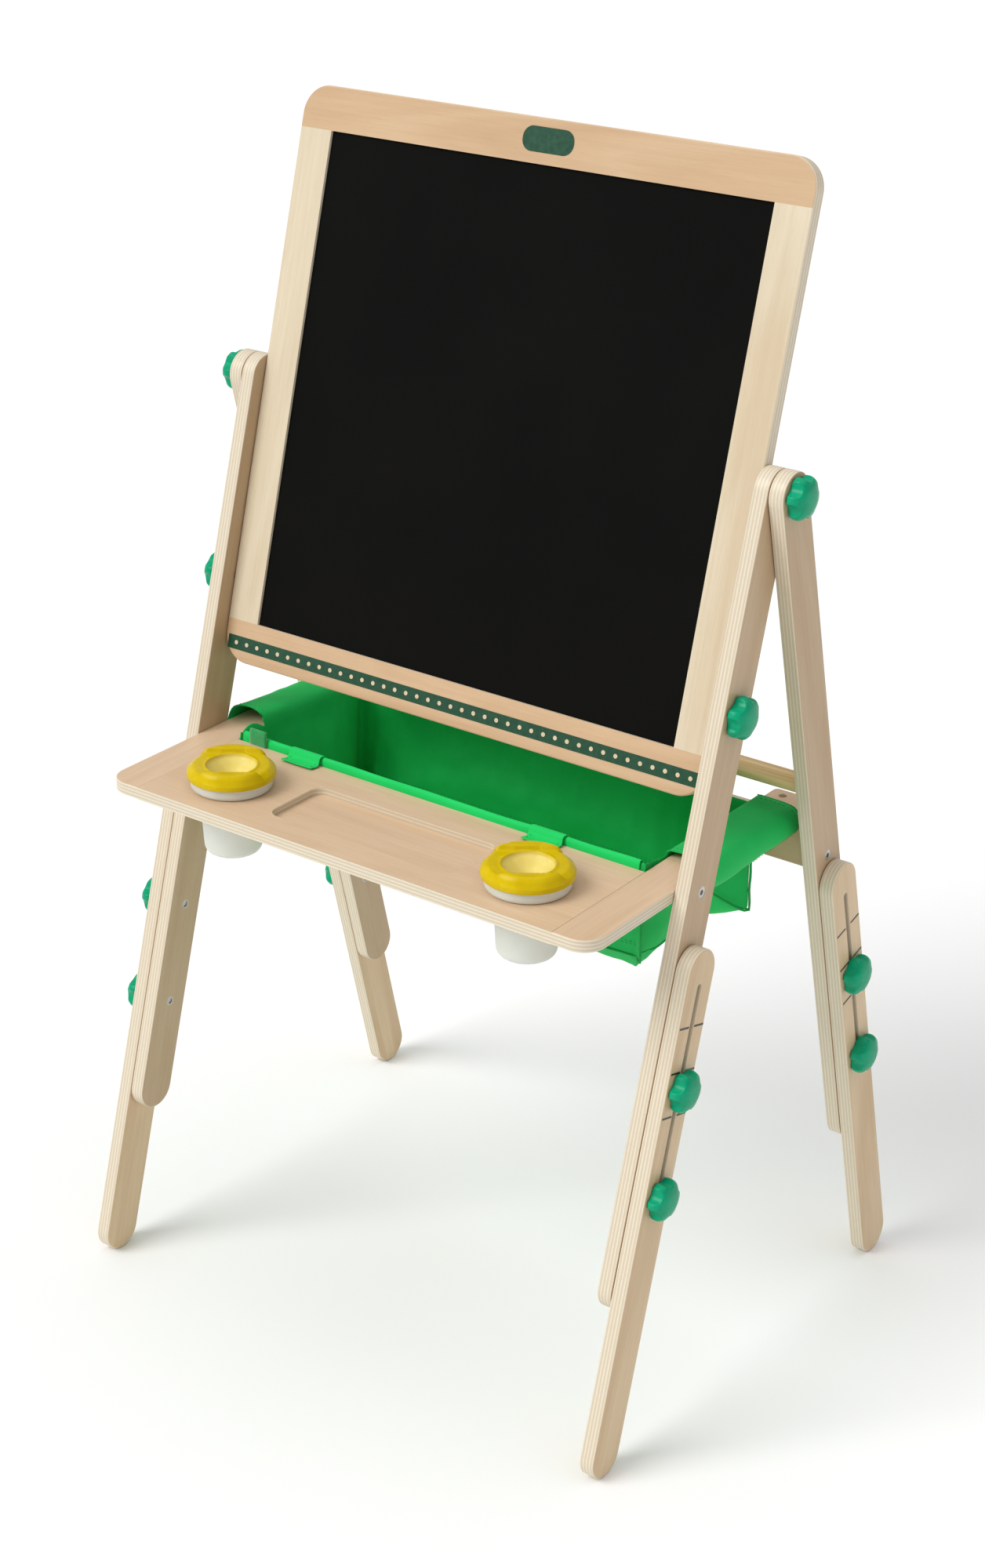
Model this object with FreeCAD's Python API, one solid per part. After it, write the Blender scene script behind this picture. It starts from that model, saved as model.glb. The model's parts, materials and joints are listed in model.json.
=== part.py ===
"""Double-sided chalkboard easel with a paint tray, a fabric bin and adjustable legs.

Lengths are in millimetres and angles in degrees. +X is to the right, +Y to the back, +Z up.
Everything is drawn with the pivot axis of the board and legs at y = 0. On export it moves back
by FOOTPRINT_SHIFT, which puts the origin on the floor at the middle of the footprint.
"""
import math
import os

import FreeCAD, Part
from FreeCAD import Placement, Rotation
from FreeCAD import Vector as V

# Stance: the pivot above the floor, and how far each pair of feet stands from it.
PIVOT_Z = 869.5
FRONT_REACH = 239.5
REAR_REACH = 225.6
BOARD_TILT = 15.0

# Leg planks and their sliding extensions.
LEG_THICK = 15.0
LEG_RADIUS = 21.5
LAYER_GAP = 0.5
EXTENSION_OUT = 159.2
EXTENSION_SPAN = 460.5
SLOT_START = 10.0
SLOT_END = 227.0
SLOT_RADIUS = 3.3
PLANK_EASE = 1.6

# Knobs, studs and the threaded inserts that they screw into.
KNOB_RADIUS = 20.0
KNOB_HEIGHT = 15.5
KNOB_RIM = 7.3
KNOB_SHOULDER = (12.9, 14.0)
KNOB_LOBES = 6
KNOB_FLUTE_RADIUS = 9.0
KNOB_FLUTE_CENTRE = 24.4
KNOB_FROM_END = 92.0
KNOB_SPACING = 101.6
LOCK_KNOB_DROP = 194.0
STUD_RADIUS = 3.0
STUD_IN_KNOB = 10.0
RUNNING = 0.05
INSERT_RADIUS = 4.5
INSERT_LENGTH = 11.0
FIT = 0.02

# Board.
BOARD_HALF = 274.75
BOARD_THICK = 14.0
OPENING_HALF_X = 238.0
OPENING_HALF_Z = 235.0
BOARD_HALF_Z = 275.5
BOARD_CORNER = 28.0
PANEL_THICK = 4.0
GROOVE_DEPTH = 8.0
PANEL_MARGIN = 7.5
BOARD_DOWEL_RADIUS = 3.0
BOARD_DOWEL_HALF = 18.0
BOARD_DOWELS_X = (253.0, 267.0)
PIVOT_INSERT_LENGTH = 18.0

# Tray.
TRAY_TOP = 536.8
TRAY_THICK = 12.0
TRAY_FRONT = -245.2
PANEL_REAR = -102.6
ARM_REAR = 120.5
ARM_WIDTH = 39.8
ARM_OUTER = 275.4
ARM_CORNER = 22.0
ARM_REAR_CORNER = 5.0
ARM_HOLE = (250.0, 108.4, 4.0)
TRAY_DOWEL_RADIUS = 3.0
TRAY_DOWEL_HALF = 15.0
TRAY_DOWELS_Y = (-222.0, -174.0, -126.0)
POCKET_HALF_X = 105.0
POCKET_Y = (-213.0, -139.0)
POCKET_DEPTH = 7.0
POCKET_CORNER = 12.0

# Fasteners of the tray and of the rear plank.
TRAY_BOLT_RADIUS = 2.5
TRAY_BOLT_REACH = 22.0
TRAY_INSERT_RADIUS = 4.0
PLANK_BOLT_RADIUS = 3.0
PLANK_BOLT_REACH = 24.0
BOLT_HEAD_RADIUS = 5.5
BOLT_HEAD_DEPTH = 4.0
SOCKET_RADIUS = 2.4
HEAD_RECESS = 0.3

# Rear cross plank and rear dowel, by their distance down the rear leg.
CROSS_PLANK_DROP = 387.0
CROSS_PLANK_BOTTOM = 480.0
ARM_CLEARANCE = 0.3
REAR_DOWEL_DROP = 310.2
REAR_DOWEL_RADIUS = 9.5
DOWEL_TENON_RADIUS = 6.0
DOWEL_TENON = 12.0

# Paint cups and their lids, measured from the top of the tray.
CUP_X = 170.0
CUP_Y = -186.9
CUP_HOLE_RADIUS = 31.0
CUP_TOP_RADIUS = 30.0
CUP_BASE_RADIUS = 27.0
CUP_DEPTH = 66.0
CUP_BASE_ROUND = 7.0
CUP_WALL = 2.0
COLLAR_RADIUS = 38.5
COLLAR_FLARE = 1.0
COLLAR_TOP = 18.0
CUP_SEAT = 0.1
LID_RADIUS = 41.9
LID_BOTTOM = 11.5
LID_TOP = 23.0
LID_WALL = 1.6
LID_ROUND = 4.0
FUNNEL_RADIUS = 24.0
FUNNEL_HOLE = 7.0
FUNNEL_BOTTOM = 5.0
LID_BAR_Y = 29.0
LID_BAR_HALF = (25.0, 2.0)
LID_BAR_HEIGHT = 3.0
LID_TURN = 37.0

# Fabric bin that hangs from the tray arms and the back edge of the tray.
CLOTH = 1.5
BIN_BOTTOM = 438.0
BIN_REAR = 88.0
BIN_GAP = 0.4
SLEEVE_FRONT = -66.0
HEM_THICK = 4.0
HEM_BOTTOM = 532.0
HEM_TOP = 540.5
TAB_X = (-150.0, 131.0)
TAB_HALF = 19.0
TAB_FRONT = -117.5
TAB_THICK = 1.2
TAB_LIFT = 0.1

# Values that follow from those above.
LEG_DROP = PIVOT_Z - LEG_RADIUS
FRONT_TILT = math.degrees(math.atan2(FRONT_REACH, LEG_DROP))
REAR_TILT = math.degrees(math.atan2(REAR_REACH, LEG_DROP))
FRONT_LENGTH = math.hypot(FRONT_REACH, LEG_DROP)
REAR_LENGTH = math.hypot(REAR_REACH, LEG_DROP)
FOOTPRINT_SHIFT = (FRONT_REACH - REAR_REACH) / 2.0
LAYER_PITCH = LEG_THICK + LAYER_GAP
FRONT_LEG_X = BOARD_HALF + 0.75
MIDDLE_LAYER_X = FRONT_LEG_X + LAYER_PITCH
OUTER_LAYER_X = MIDDLE_LAYER_X + LAYER_PITCH
OUTSIDE_X = OUTER_LAYER_X + LAYER_PITCH
ARM_INNER = ARM_OUTER - ARM_WIDTH
TRAY_UNDER = TRAY_TOP - TRAY_THICK
TRAY_MIDDLE = TRAY_TOP - TRAY_THICK / 2.0
TRAY_BOLT_Y = -(PIVOT_Z - TRAY_MIDDLE) * math.tan(math.radians(FRONT_TILT))
CROSS_PLANK_Y = CROSS_PLANK_DROP * math.sin(math.radians(REAR_TILT))
CROSS_BOLT_Z = PIVOT_Z - CROSS_PLANK_DROP * math.cos(math.radians(REAR_TILT))
REAR_DOWEL_Y = REAR_DOWEL_DROP * math.sin(math.radians(REAR_TILT))
REAR_DOWEL_Z = PIVOT_Z - REAR_DOWEL_DROP * math.cos(math.radians(REAR_TILT))
SIDES = {"left": -1, "right": 1}


def save(name, shape):
    """Write one node, with the origin moved to the middle of the footprint."""
    moved = shape.copy()
    moved.translate(V(0, FOOTPRINT_SHIFT, 0))
    moved.exportStep("parts/" + name + ".step")


def on_side(shape, side):
    """A shape drawn on the right, or its mirror image on the left."""
    if side > 0:
        return shape
    return shape.mirror(V(0, 0, 0), V(1, 0, 0))


def group(shapes):
    """Several separate solids in one node."""
    return Part.makeCompound(shapes)


def tilted(shape, tilt):
    """A shape drawn upright about the pivot axis, turned about it. Plus swings its foot back."""
    turned = shape.copy()
    turned.rotate(V(0, 0, 0), V(1, 0, 0), tilt)
    turned.translate(V(0, 0, PIVOT_Z))
    return turned


def box(x, y, z):
    """A box from its (low, high) pairs."""
    return Part.makeBox(x[1] - x[0], y[1] - y[0], z[1] - z[0], V(x[0], y[0], z[0]))


def rod_x(radius, x_low, x_high, y, z):
    """A round bar along X."""
    return Part.makeCylinder(radius, x_high - x_low, V(x_low, y, z), V(1, 0, 0))


def tube_x(radius, bore, x_low, x_high, y, z):
    """A round tube along X."""
    return rod_x(radius, x_low, x_high, y, z).cut(rod_x(bore, x_low, x_high, y, z))


def round_bar(x_low, thickness, z_top, z_bottom, radius):
    """A flat bar that hangs along -Z with half-round ends; the z values are the ends' centres."""
    side_a = Part.LineSegment(V(x_low, radius, z_top), V(x_low, radius, z_bottom))
    foot = Part.Arc(V(x_low, radius, z_bottom), V(x_low, 0, z_bottom - radius), V(x_low, -radius, z_bottom))
    side_b = Part.LineSegment(V(x_low, -radius, z_bottom), V(x_low, -radius, z_top))
    head = Part.Arc(V(x_low, -radius, z_top), V(x_low, 0, z_top + radius), V(x_low, radius, z_top))
    wire = Part.Wire([side_a.toShape(), foot.toShape(), side_b.toShape(), head.toShape()])
    return Part.Face(wire).extrude(V(thickness, 0, 0))


def rounded_plate(x, y, z, corners, axis):
    """A plate with its four corners rounded; corners are radii in the order given by the outline."""
    if axis == "z":
        points = [V(x[0], y[0], z[0]), V(x[1], y[0], z[0]), V(x[1], y[1], z[0]), V(x[0], y[1], z[0])]
        direction = V(0, 0, z[1] - z[0])
    else:
        points = [V(x[0], y[0], z[0]), V(x[1], y[0], z[0]), V(x[1], y[0], z[1]), V(x[0], y[0], z[1])]
        direction = V(0, y[1] - y[0], 0)
    edges = []
    starts = []
    ends = []
    for index, corner in enumerate(points):
        back = (points[index - 1] - corner).normalize()
        ahead = (points[(index + 1) % 4] - corner).normalize()
        radius = corners[index]
        starts.append(corner + back * radius)
        ends.append(corner + ahead * radius)
    for index, corner in enumerate(points):
        radius = corners[index]
        if radius:
            inward = (starts[index] - corner) + (ends[index] - corner)
            middle = corner + inward * (1 - math.sqrt(0.5))
            edges.append(Part.Arc(starts[index], middle, ends[index]).toShape())
        edges.append(Part.LineSegment(ends[index], starts[(index + 1) % 4]).toShape())
    return Part.Face(Part.Wire(edges)).extrude(direction)


def eased(shape, radius, wanted):
    """Round the edges that the function wanted picks."""
    edges = [edge for edge in shape.Edges if wanted(edge)]
    return shape.makeFillet(radius, edges)


def across_x(edge):
    """True for the outline edges of a plank's two broad faces."""
    return edge.BoundBox.XLength < 0.001


def across_y(edge):
    """True for the outline edges of a board rail's front and back faces."""
    return edge.BoundBox.YLength < 0.001


def knob_drops(leg_length):
    """How far below the pivot the two extension knobs are."""
    lower = leg_length - EXTENSION_OUT - KNOB_FROM_END
    return (lower - KNOB_SPACING, lower)


def bored(shape, radius, x_low, drops):
    """Drill holes along X through a plank that hangs from the pivot."""
    for drop in drops:
        shape = shape.cut(rod_x(radius, x_low - 1, x_low + LEG_THICK + 1, 0, -drop))
    return shape


def insert_seats(shape, x_low, drops):
    """Open the plank's inner face for threaded inserts."""
    for drop in drops:
        shape = shape.cut(rod_x(INSERT_RADIUS, x_low, x_low + INSERT_LENGTH, 0, -drop))
    return shape


def bolt(x_outer, reach, radius, y, z):
    """A countersunk socket bolt whose head is just below a face at x_outer and points inward."""
    head_x = x_outer - HEAD_RECESS
    shank = rod_x(radius, x_outer - reach - LEG_THICK, head_x, y, z)
    head = Part.makeCone(radius, BOLT_HEAD_RADIUS, BOLT_HEAD_DEPTH,
                         V(head_x - BOLT_HEAD_DEPTH, y, z), V(1, 0, 0))
    socket = rod_x(SOCKET_RADIUS, head_x - BOLT_HEAD_DEPTH / 2.0, head_x, y, z)
    return shank.fuse(head).cut(socket)


def bolt_hole(x_outer, reach, radius, y, z):
    """The drilled and countersunk hole that a bolt goes in."""
    shank = rod_x(radius + FIT, x_outer - reach - LEG_THICK, x_outer, y, z)
    cone = Part.makeCone(radius, BOLT_HEAD_RADIUS + FIT, BOLT_HEAD_DEPTH + FIT,
                         V(x_outer - HEAD_RECESS - BOLT_HEAD_DEPTH, y, z), V(1, 0, 0))
    mouth = rod_x(BOLT_HEAD_RADIUS + FIT, x_outer - HEAD_RECESS, x_outer + 1, y, z)
    return shank.fuse(cone).fuse(mouth)


def make_front_legs():
    """Front leg planks, with seats for the inserts and the tray bolt."""
    length = FRONT_LENGTH - EXTENSION_OUT
    drops = knob_drops(FRONT_LENGTH) + (LOCK_KNOB_DROP,)
    leg = eased(round_bar(FRONT_LEG_X, LEG_THICK, 0, -length, LEG_RADIUS), PLANK_EASE, across_x)
    leg = bored(leg, SLOT_RADIUS, FRONT_LEG_X, drops)
    leg = bored(leg, STUD_RADIUS + RUNNING, FRONT_LEG_X, (0,))
    leg = tilted(insert_seats(leg, FRONT_LEG_X, drops), -FRONT_TILT)
    leg = leg.cut(bolt_hole(FRONT_LEG_X + LEG_THICK, TRAY_BOLT_REACH, TRAY_BOLT_RADIUS,
                            TRAY_BOLT_Y, TRAY_MIDDLE))
    for name, side in SIDES.items():
        save("front_leg_" + name, on_side(leg, side))


def make_rear_legs():
    """Rear leg planks, with seats for the inserts, the cross plank's bolt and the dowel's tenon."""
    length = REAR_LENGTH - EXTENSION_OUT
    drops = knob_drops(REAR_LENGTH)
    leg = eased(round_bar(MIDDLE_LAYER_X, LEG_THICK, 0, -length, LEG_RADIUS), PLANK_EASE, across_x)
    leg = bored(leg, SLOT_RADIUS, MIDDLE_LAYER_X, drops)
    leg = bored(leg, STUD_RADIUS + RUNNING, MIDDLE_LAYER_X, (0,))
    leg = tilted(insert_seats(leg, MIDDLE_LAYER_X, drops), REAR_TILT)
    outer = MIDDLE_LAYER_X + LEG_THICK
    leg = leg.cut(bolt_hole(outer, PLANK_BOLT_REACH, PLANK_BOLT_RADIUS, CROSS_PLANK_Y, CROSS_BOLT_Z))
    tenon = rod_x(DOWEL_TENON_RADIUS, MIDDLE_LAYER_X, MIDDLE_LAYER_X + DOWEL_TENON,
                  REAR_DOWEL_Y, REAR_DOWEL_Z)
    leg = leg.cut(tenon)
    for name, side in SIDES.items():
        save("rear_leg_" + name, on_side(leg, side))


def make_extensions(end, leg_length, x_low, tilt):
    """The two slotted extensions of one frame."""
    top = leg_length - EXTENSION_SPAN
    plank = eased(round_bar(x_low, LEG_THICK, -top, -leg_length, LEG_RADIUS), PLANK_EASE, across_x)
    slot_top = -(top + SLOT_START + SLOT_RADIUS)
    slot_bottom = -(top + SLOT_END - SLOT_RADIUS)
    slot = round_bar(x_low - 1, LEG_THICK + 2, slot_top, slot_bottom, SLOT_RADIUS)
    plank = tilted(plank.cut(slot), tilt)
    for name, side in SIDES.items():
        save(end + "_extension_" + name, on_side(plank, side))


def make_leg_inserts():
    """Threaded inserts in the inner faces of the leg planks."""
    front = []
    rear = []
    for side in SIDES.values():
        for drop in knob_drops(FRONT_LENGTH) + (LOCK_KNOB_DROP,):
            insert = tube_x(INSERT_RADIUS, STUD_RADIUS + RUNNING,
                            FRONT_LEG_X, FRONT_LEG_X + INSERT_LENGTH, 0, -drop)
            front.append(on_side(tilted(insert, -FRONT_TILT), side))
        for drop in knob_drops(REAR_LENGTH):
            insert = tube_x(INSERT_RADIUS, STUD_RADIUS + RUNNING,
                            MIDDLE_LAYER_X, MIDDLE_LAYER_X + INSERT_LENGTH,
                            0, -drop)
            rear.append(on_side(tilted(insert, REAR_TILT), side))
    save("front_leg_inserts", group(front))
    save("rear_leg_inserts", group(rear))


def make_board_frame():
    """Two rails and two stiles, grooved for the panels and bored for the dowels."""
    half = BOARD_THICK / 2.0
    groove = box((-OPENING_HALF_X - GROOVE_DEPTH, OPENING_HALF_X + GROOVE_DEPTH), (-PANEL_THICK, PANEL_THICK),
                 (-OPENING_HALF_Z - GROOVE_DEPTH, OPENING_HALF_Z + GROOVE_DEPTH))
    dowels = []
    for x in BOARD_DOWELS_X:
        for side in SIDES.values():
            for end in (-1, 1):
                base = V(side * x, 0, end * OPENING_HALF_Z - BOARD_DOWEL_HALF)
                dowels.append(Part.makeCylinder(BOARD_DOWEL_RADIUS, 2 * BOARD_DOWEL_HALF, base))
    dowels = group(dowels)
    rail = rounded_plate((-BOARD_HALF, BOARD_HALF), (-half, half), (OPENING_HALF_Z, BOARD_HALF_Z),
                         (0, 0, BOARD_CORNER, BOARD_CORNER), "y")
    rail = eased(rail, PLANK_EASE, lambda edge: across_y(edge) and edge.BoundBox.ZMax > OPENING_HALF_Z + 1)
    top_rail = rail.cut(groove).cut(dowels)
    bottom_rail = top_rail.mirror(V(0, 0, 0), V(0, 0, 1))
    stile = box((OPENING_HALF_X, BOARD_HALF), (-half, half), (-OPENING_HALF_Z, OPENING_HALF_Z))
    stile = eased(stile, PLANK_EASE, lambda edge: edge.BoundBox.XMin > BOARD_HALF - 1
                  and edge.BoundBox.ZLength > 1)
    insert_hole = rod_x(INSERT_RADIUS, BOARD_HALF - PIVOT_INSERT_LENGTH, BOARD_HALF, 0, 0)
    stile = stile.cut(groove).cut(dowels).cut(insert_hole)
    insert = tube_x(INSERT_RADIUS, STUD_RADIUS + RUNNING, BOARD_HALF - PIVOT_INSERT_LENGTH, BOARD_HALF, 0, 0)
    save("board_top_rail", tilted(top_rail, -BOARD_TILT))
    save("board_bottom_rail", tilted(bottom_rail, -BOARD_TILT))
    for name, side in SIDES.items():
        save("board_stile_" + name, tilted(on_side(stile, side), -BOARD_TILT))
    save("board_dowels", tilted(dowels, -BOARD_TILT))
    both_inserts = group([on_side(insert, side) for side in SIDES.values()])
    save("board_pivot_inserts", tilted(both_inserts, -BOARD_TILT))


def make_board_panels():
    """The chalkboard faces front and the whiteboard faces back, back to back in the groove."""
    x = (-OPENING_HALF_X - PANEL_MARGIN, OPENING_HALF_X + PANEL_MARGIN)
    z = (-OPENING_HALF_Z - PANEL_MARGIN, OPENING_HALF_Z + PANEL_MARGIN)
    save("chalkboard_panel", tilted(box(x, (-PANEL_THICK, 0), z), -BOARD_TILT))
    save("whiteboard_panel", tilted(box(x, (0, PANEL_THICK), z), -BOARD_TILT))


def tray_dowels():
    """Dowels that join the tray panel to its two arms."""
    dowels = []
    for side in SIDES.values():
        for y in TRAY_DOWELS_Y:
            dowel = rod_x(TRAY_DOWEL_RADIUS, ARM_INNER - TRAY_DOWEL_HALF, ARM_INNER + TRAY_DOWEL_HALF,
                          y, TRAY_MIDDLE)
            dowels.append(on_side(dowel, side))
    return group(dowels)


def make_tray():
    """The tray panel with its cup holes and pocket, its two long arms, and the dowels."""
    dowels = tray_dowels()
    z = (TRAY_UNDER, TRAY_TOP)
    panel = box((-ARM_INNER, ARM_INNER), (TRAY_FRONT, PANEL_REAR), z)
    pocket = rounded_plate((-POCKET_HALF_X, POCKET_HALF_X), POCKET_Y, (TRAY_TOP - POCKET_DEPTH, TRAY_TOP + 1),
                           (POCKET_CORNER,) * 4, "z")
    panel = panel.cut(pocket).cut(dowels)
    for side in SIDES.values():
        hole = Part.makeCylinder(CUP_HOLE_RADIUS, TRAY_THICK + 2, V(side * CUP_X, CUP_Y, TRAY_UNDER - 1))
        panel = panel.cut(hole)
    save("tray_panel", panel)

    arm = rounded_plate((ARM_INNER, ARM_OUTER), (TRAY_FRONT, ARM_REAR), z,
                        (0, ARM_CORNER, ARM_REAR_CORNER, ARM_REAR_CORNER), "z")
    arm = eased(arm, 1.0, lambda edge: edge.BoundBox.ZLength < 0.001 and edge.BoundBox.XMax > ARM_INNER + 1
                and edge.BoundBox.YLength > 1)
    bore = Part.makeCylinder(ARM_HOLE[2], TRAY_THICK, V(ARM_HOLE[0], ARM_HOLE[1], TRAY_UNDER))
    arm = arm.cut(bore).cut(dowels)
    seat = rod_x(TRAY_INSERT_RADIUS, ARM_OUTER - TRAY_BOLT_REACH, ARM_OUTER, TRAY_BOLT_Y, TRAY_MIDDLE)
    arm = arm.cut(seat)
    for name, side in SIDES.items():
        save("tray_arm_" + name, on_side(arm, side))
    save("tray_dowels", dowels)


def make_bolts():
    """Bolts and inserts that hold the tray arms and the rear cross plank."""
    face = FRONT_LEG_X + LEG_THICK
    tray_bolt = bolt(face, TRAY_BOLT_REACH - 1, TRAY_BOLT_RADIUS, TRAY_BOLT_Y, TRAY_MIDDLE)
    tray_insert = tube_x(TRAY_INSERT_RADIUS, TRAY_BOLT_RADIUS + FIT, ARM_OUTER - TRAY_BOLT_REACH, ARM_OUTER,
                         TRAY_BOLT_Y, TRAY_MIDDLE)
    face = MIDDLE_LAYER_X + LEG_THICK
    plank_bolt = bolt(face, PLANK_BOLT_REACH - 1, PLANK_BOLT_RADIUS, CROSS_PLANK_Y, CROSS_BOLT_Z)
    plank_insert = tube_x(INSERT_RADIUS, PLANK_BOLT_RADIUS + FIT,
                          MIDDLE_LAYER_X - PLANK_BOLT_REACH, MIDDLE_LAYER_X, CROSS_PLANK_Y, CROSS_BOLT_Z)
    both = SIDES.values()
    save("tray_bolts", group([on_side(tray_bolt, side) for side in both]))
    save("tray_inserts", group([on_side(tray_insert, side) for side in both]))
    save("cross_plank_bolts", group([on_side(plank_bolt, side) for side in both]))
    save("cross_plank_inserts", group([on_side(plank_insert, side) for side in both]))


def make_cross_members():
    """The upright plank that the tray arms rest on, and the round dowel above it."""
    half = LEG_THICK / 2.0
    plank = box((-MIDDLE_LAYER_X, MIDDLE_LAYER_X), (CROSS_PLANK_Y - half, CROSS_PLANK_Y + half),
                (CROSS_PLANK_BOTTOM, TRAY_UNDER - ARM_CLEARANCE))
    plank = eased(plank, PLANK_EASE, lambda edge: edge.BoundBox.XLength > 1)
    for side in SIDES.values():
        seat = rod_x(INSERT_RADIUS, MIDDLE_LAYER_X - PLANK_BOLT_REACH, MIDDLE_LAYER_X,
                     CROSS_PLANK_Y, CROSS_BOLT_Z)
        plank = plank.cut(on_side(seat, side))
    save("rear_cross_plank", plank)
    dowel = rod_x(REAR_DOWEL_RADIUS, -MIDDLE_LAYER_X, MIDDLE_LAYER_X, REAR_DOWEL_Y, REAR_DOWEL_Z)
    reach = MIDDLE_LAYER_X + DOWEL_TENON
    tenons = rod_x(DOWEL_TENON_RADIUS, -reach, reach, REAR_DOWEL_Y, REAR_DOWEL_Z)
    save("rear_dowel", dowel.fuse(tenons).removeSplitter())


def knob(x_seat):
    """A six-lobed hand knob on the X axis, with its flat seat at x_seat and a domed top."""
    top = x_seat + KNOB_HEIGHT
    rim = x_seat + KNOB_RIM
    shoulder_x = x_seat + KNOB_SHOULDER[0]
    shoulder_r = KNOB_SHOULDER[1]
    round_middle = V(rim + (shoulder_x - rim) * 0.62, shoulder_r + (KNOB_RADIUS - shoulder_r) * 0.62, 0)
    cap_rise = top - shoulder_x
    cap_radius = (shoulder_r ** 2 + cap_rise ** 2) / (2.0 * cap_rise)
    cap_x = top - cap_radius + math.sqrt(cap_radius ** 2 - shoulder_r ** 2 / 4.0)
    cap_middle = V(cap_x, shoulder_r / 2.0, 0)
    edges = [
        Part.LineSegment(V(x_seat, 0, 0), V(x_seat, KNOB_RADIUS - 1, 0)),
        Part.LineSegment(V(x_seat, KNOB_RADIUS - 1, 0), V(x_seat + 1, KNOB_RADIUS, 0)),
        Part.LineSegment(V(x_seat + 1, KNOB_RADIUS, 0), V(rim, KNOB_RADIUS, 0)),
        Part.Arc(V(rim, KNOB_RADIUS, 0), round_middle, V(shoulder_x, shoulder_r, 0)),
        Part.Arc(V(shoulder_x, shoulder_r, 0), cap_middle, V(top, 0, 0)),
        Part.LineSegment(V(top, 0, 0), V(x_seat, 0, 0)),
    ]
    solid = Part.Face(Part.Wire([edge.toShape() for edge in edges])).revolve(V(0, 0, 0), V(1, 0, 0), 360)
    for lobe in range(KNOB_LOBES):
        angle = 2 * math.pi * lobe / KNOB_LOBES
        y = KNOB_FLUTE_CENTRE * math.cos(angle)
        z = KNOB_FLUTE_CENTRE * math.sin(angle)
        solid = solid.cut(rod_x(KNOB_FLUTE_RADIUS, x_seat - 1, top + 1, y, z))
    return solid.cut(rod_x(STUD_RADIUS + FIT, x_seat, x_seat + STUD_IN_KNOB, 0, 0)).Solids[0]


def make_knob(name, x_seat, x_tip, drop, tilt):
    """A knob and its stud on each side; the stud's tip is at x_tip."""
    seat = x_seat + LAYER_GAP
    parts = {"knob": knob(seat), "stud": rod_x(STUD_RADIUS, x_tip, seat + STUD_IN_KNOB, 0, 0)}
    for kind, shape in parts.items():
        lowered = shape.copy()
        lowered.translate(V(0, 0, -drop))
        for side_name, side in SIDES.items():
            save(name + "_" + kind + "_" + side_name, on_side(tilted(lowered, tilt), side))


def make_knobs():
    """Pivot, board lock and extension knobs."""
    middle_face = MIDDLE_LAYER_X + LEG_THICK
    make_knob("pivot", middle_face, BOARD_HALF - PIVOT_INSERT_LENGTH + 1, 0, -FRONT_TILT)
    make_knob("board_lock", FRONT_LEG_X + LEG_THICK, FRONT_LEG_X - LAYER_GAP / 2.0,
              LOCK_KNOB_DROP, -FRONT_TILT)
    outer_face = OUTER_LAYER_X + LEG_THICK
    for position, drop in zip(("upper", "lower"), knob_drops(FRONT_LENGTH)):
        make_knob("front_" + position, middle_face, FRONT_LEG_X + 1, drop, -FRONT_TILT)
    for position, drop in zip(("upper", "lower"), knob_drops(REAR_LENGTH)):
        make_knob("rear_" + position, outer_face, MIDDLE_LAYER_X + 1, drop, REAR_TILT)


def turned(points):
    """A solid of revolution about Z from (radius, height) points on its outline."""
    corners = [V(radius, 0, height) for radius, height in points]
    wire = Part.makePolygon(corners + [corners[0]])
    return Part.Face(wire).revolve(V(0, 0, 0), V(0, 0, 1), 360)


def cup():
    """A paint cup with a wide collar that rests on the tray; z = 0 is the tray's top."""
    inner_collar = COLLAR_RADIUS - CUP_WALL
    solid = turned([
        (0, -CUP_DEPTH), (CUP_BASE_RADIUS, -CUP_DEPTH), (CUP_TOP_RADIUS, CUP_SEAT), (COLLAR_RADIUS, CUP_SEAT),
        (COLLAR_RADIUS + COLLAR_FLARE, COLLAR_TOP), (inner_collar + COLLAR_FLARE, COLLAR_TOP),
        (inner_collar, CUP_SEAT + CUP_WALL), (CUP_TOP_RADIUS - CUP_WALL, CUP_SEAT + CUP_WALL),
        (CUP_BASE_RADIUS - CUP_WALL, CUP_WALL - CUP_DEPTH), (0, CUP_WALL - CUP_DEPTH),
    ])
    return eased(solid, CUP_BASE_ROUND, lambda edge: edge.BoundBox.ZMax < 0.5 - CUP_DEPTH
                 and abs(edge.BoundBox.XMax - CUP_BASE_RADIUS) < 0.5)


def lid():
    """A lid with a deep skirt, an open funnel and two raised bars; z = 0 is the tray's top."""
    inner = LID_RADIUS - LID_WALL
    under = LID_TOP - LID_WALL
    body = turned([
        (inner, LID_BOTTOM), (LID_RADIUS, LID_BOTTOM), (LID_RADIUS, LID_TOP - LID_ROUND),
        (LID_RADIUS - LID_ROUND / 3.0, LID_TOP - LID_ROUND / 3.0), (LID_RADIUS - LID_ROUND, LID_TOP),
        (FUNNEL_RADIUS, LID_TOP), (FUNNEL_HOLE, FUNNEL_BOTTOM), (FUNNEL_HOLE + LID_WALL, FUNNEL_BOTTOM),
        (FUNNEL_RADIUS + LID_WALL, under), (inner, under),
    ])
    for side in (-1, 1):
        y = (side * LID_BAR_Y - LID_BAR_HALF[1], side * LID_BAR_Y + LID_BAR_HALF[1])
        bar = box((-LID_BAR_HALF[0], LID_BAR_HALF[0]), y, (under, LID_TOP + LID_BAR_HEIGHT))
        body = body.fuse(bar)
    body.rotate(V(0, 0, 0), V(0, 0, 1), LID_TURN)
    return body


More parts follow.
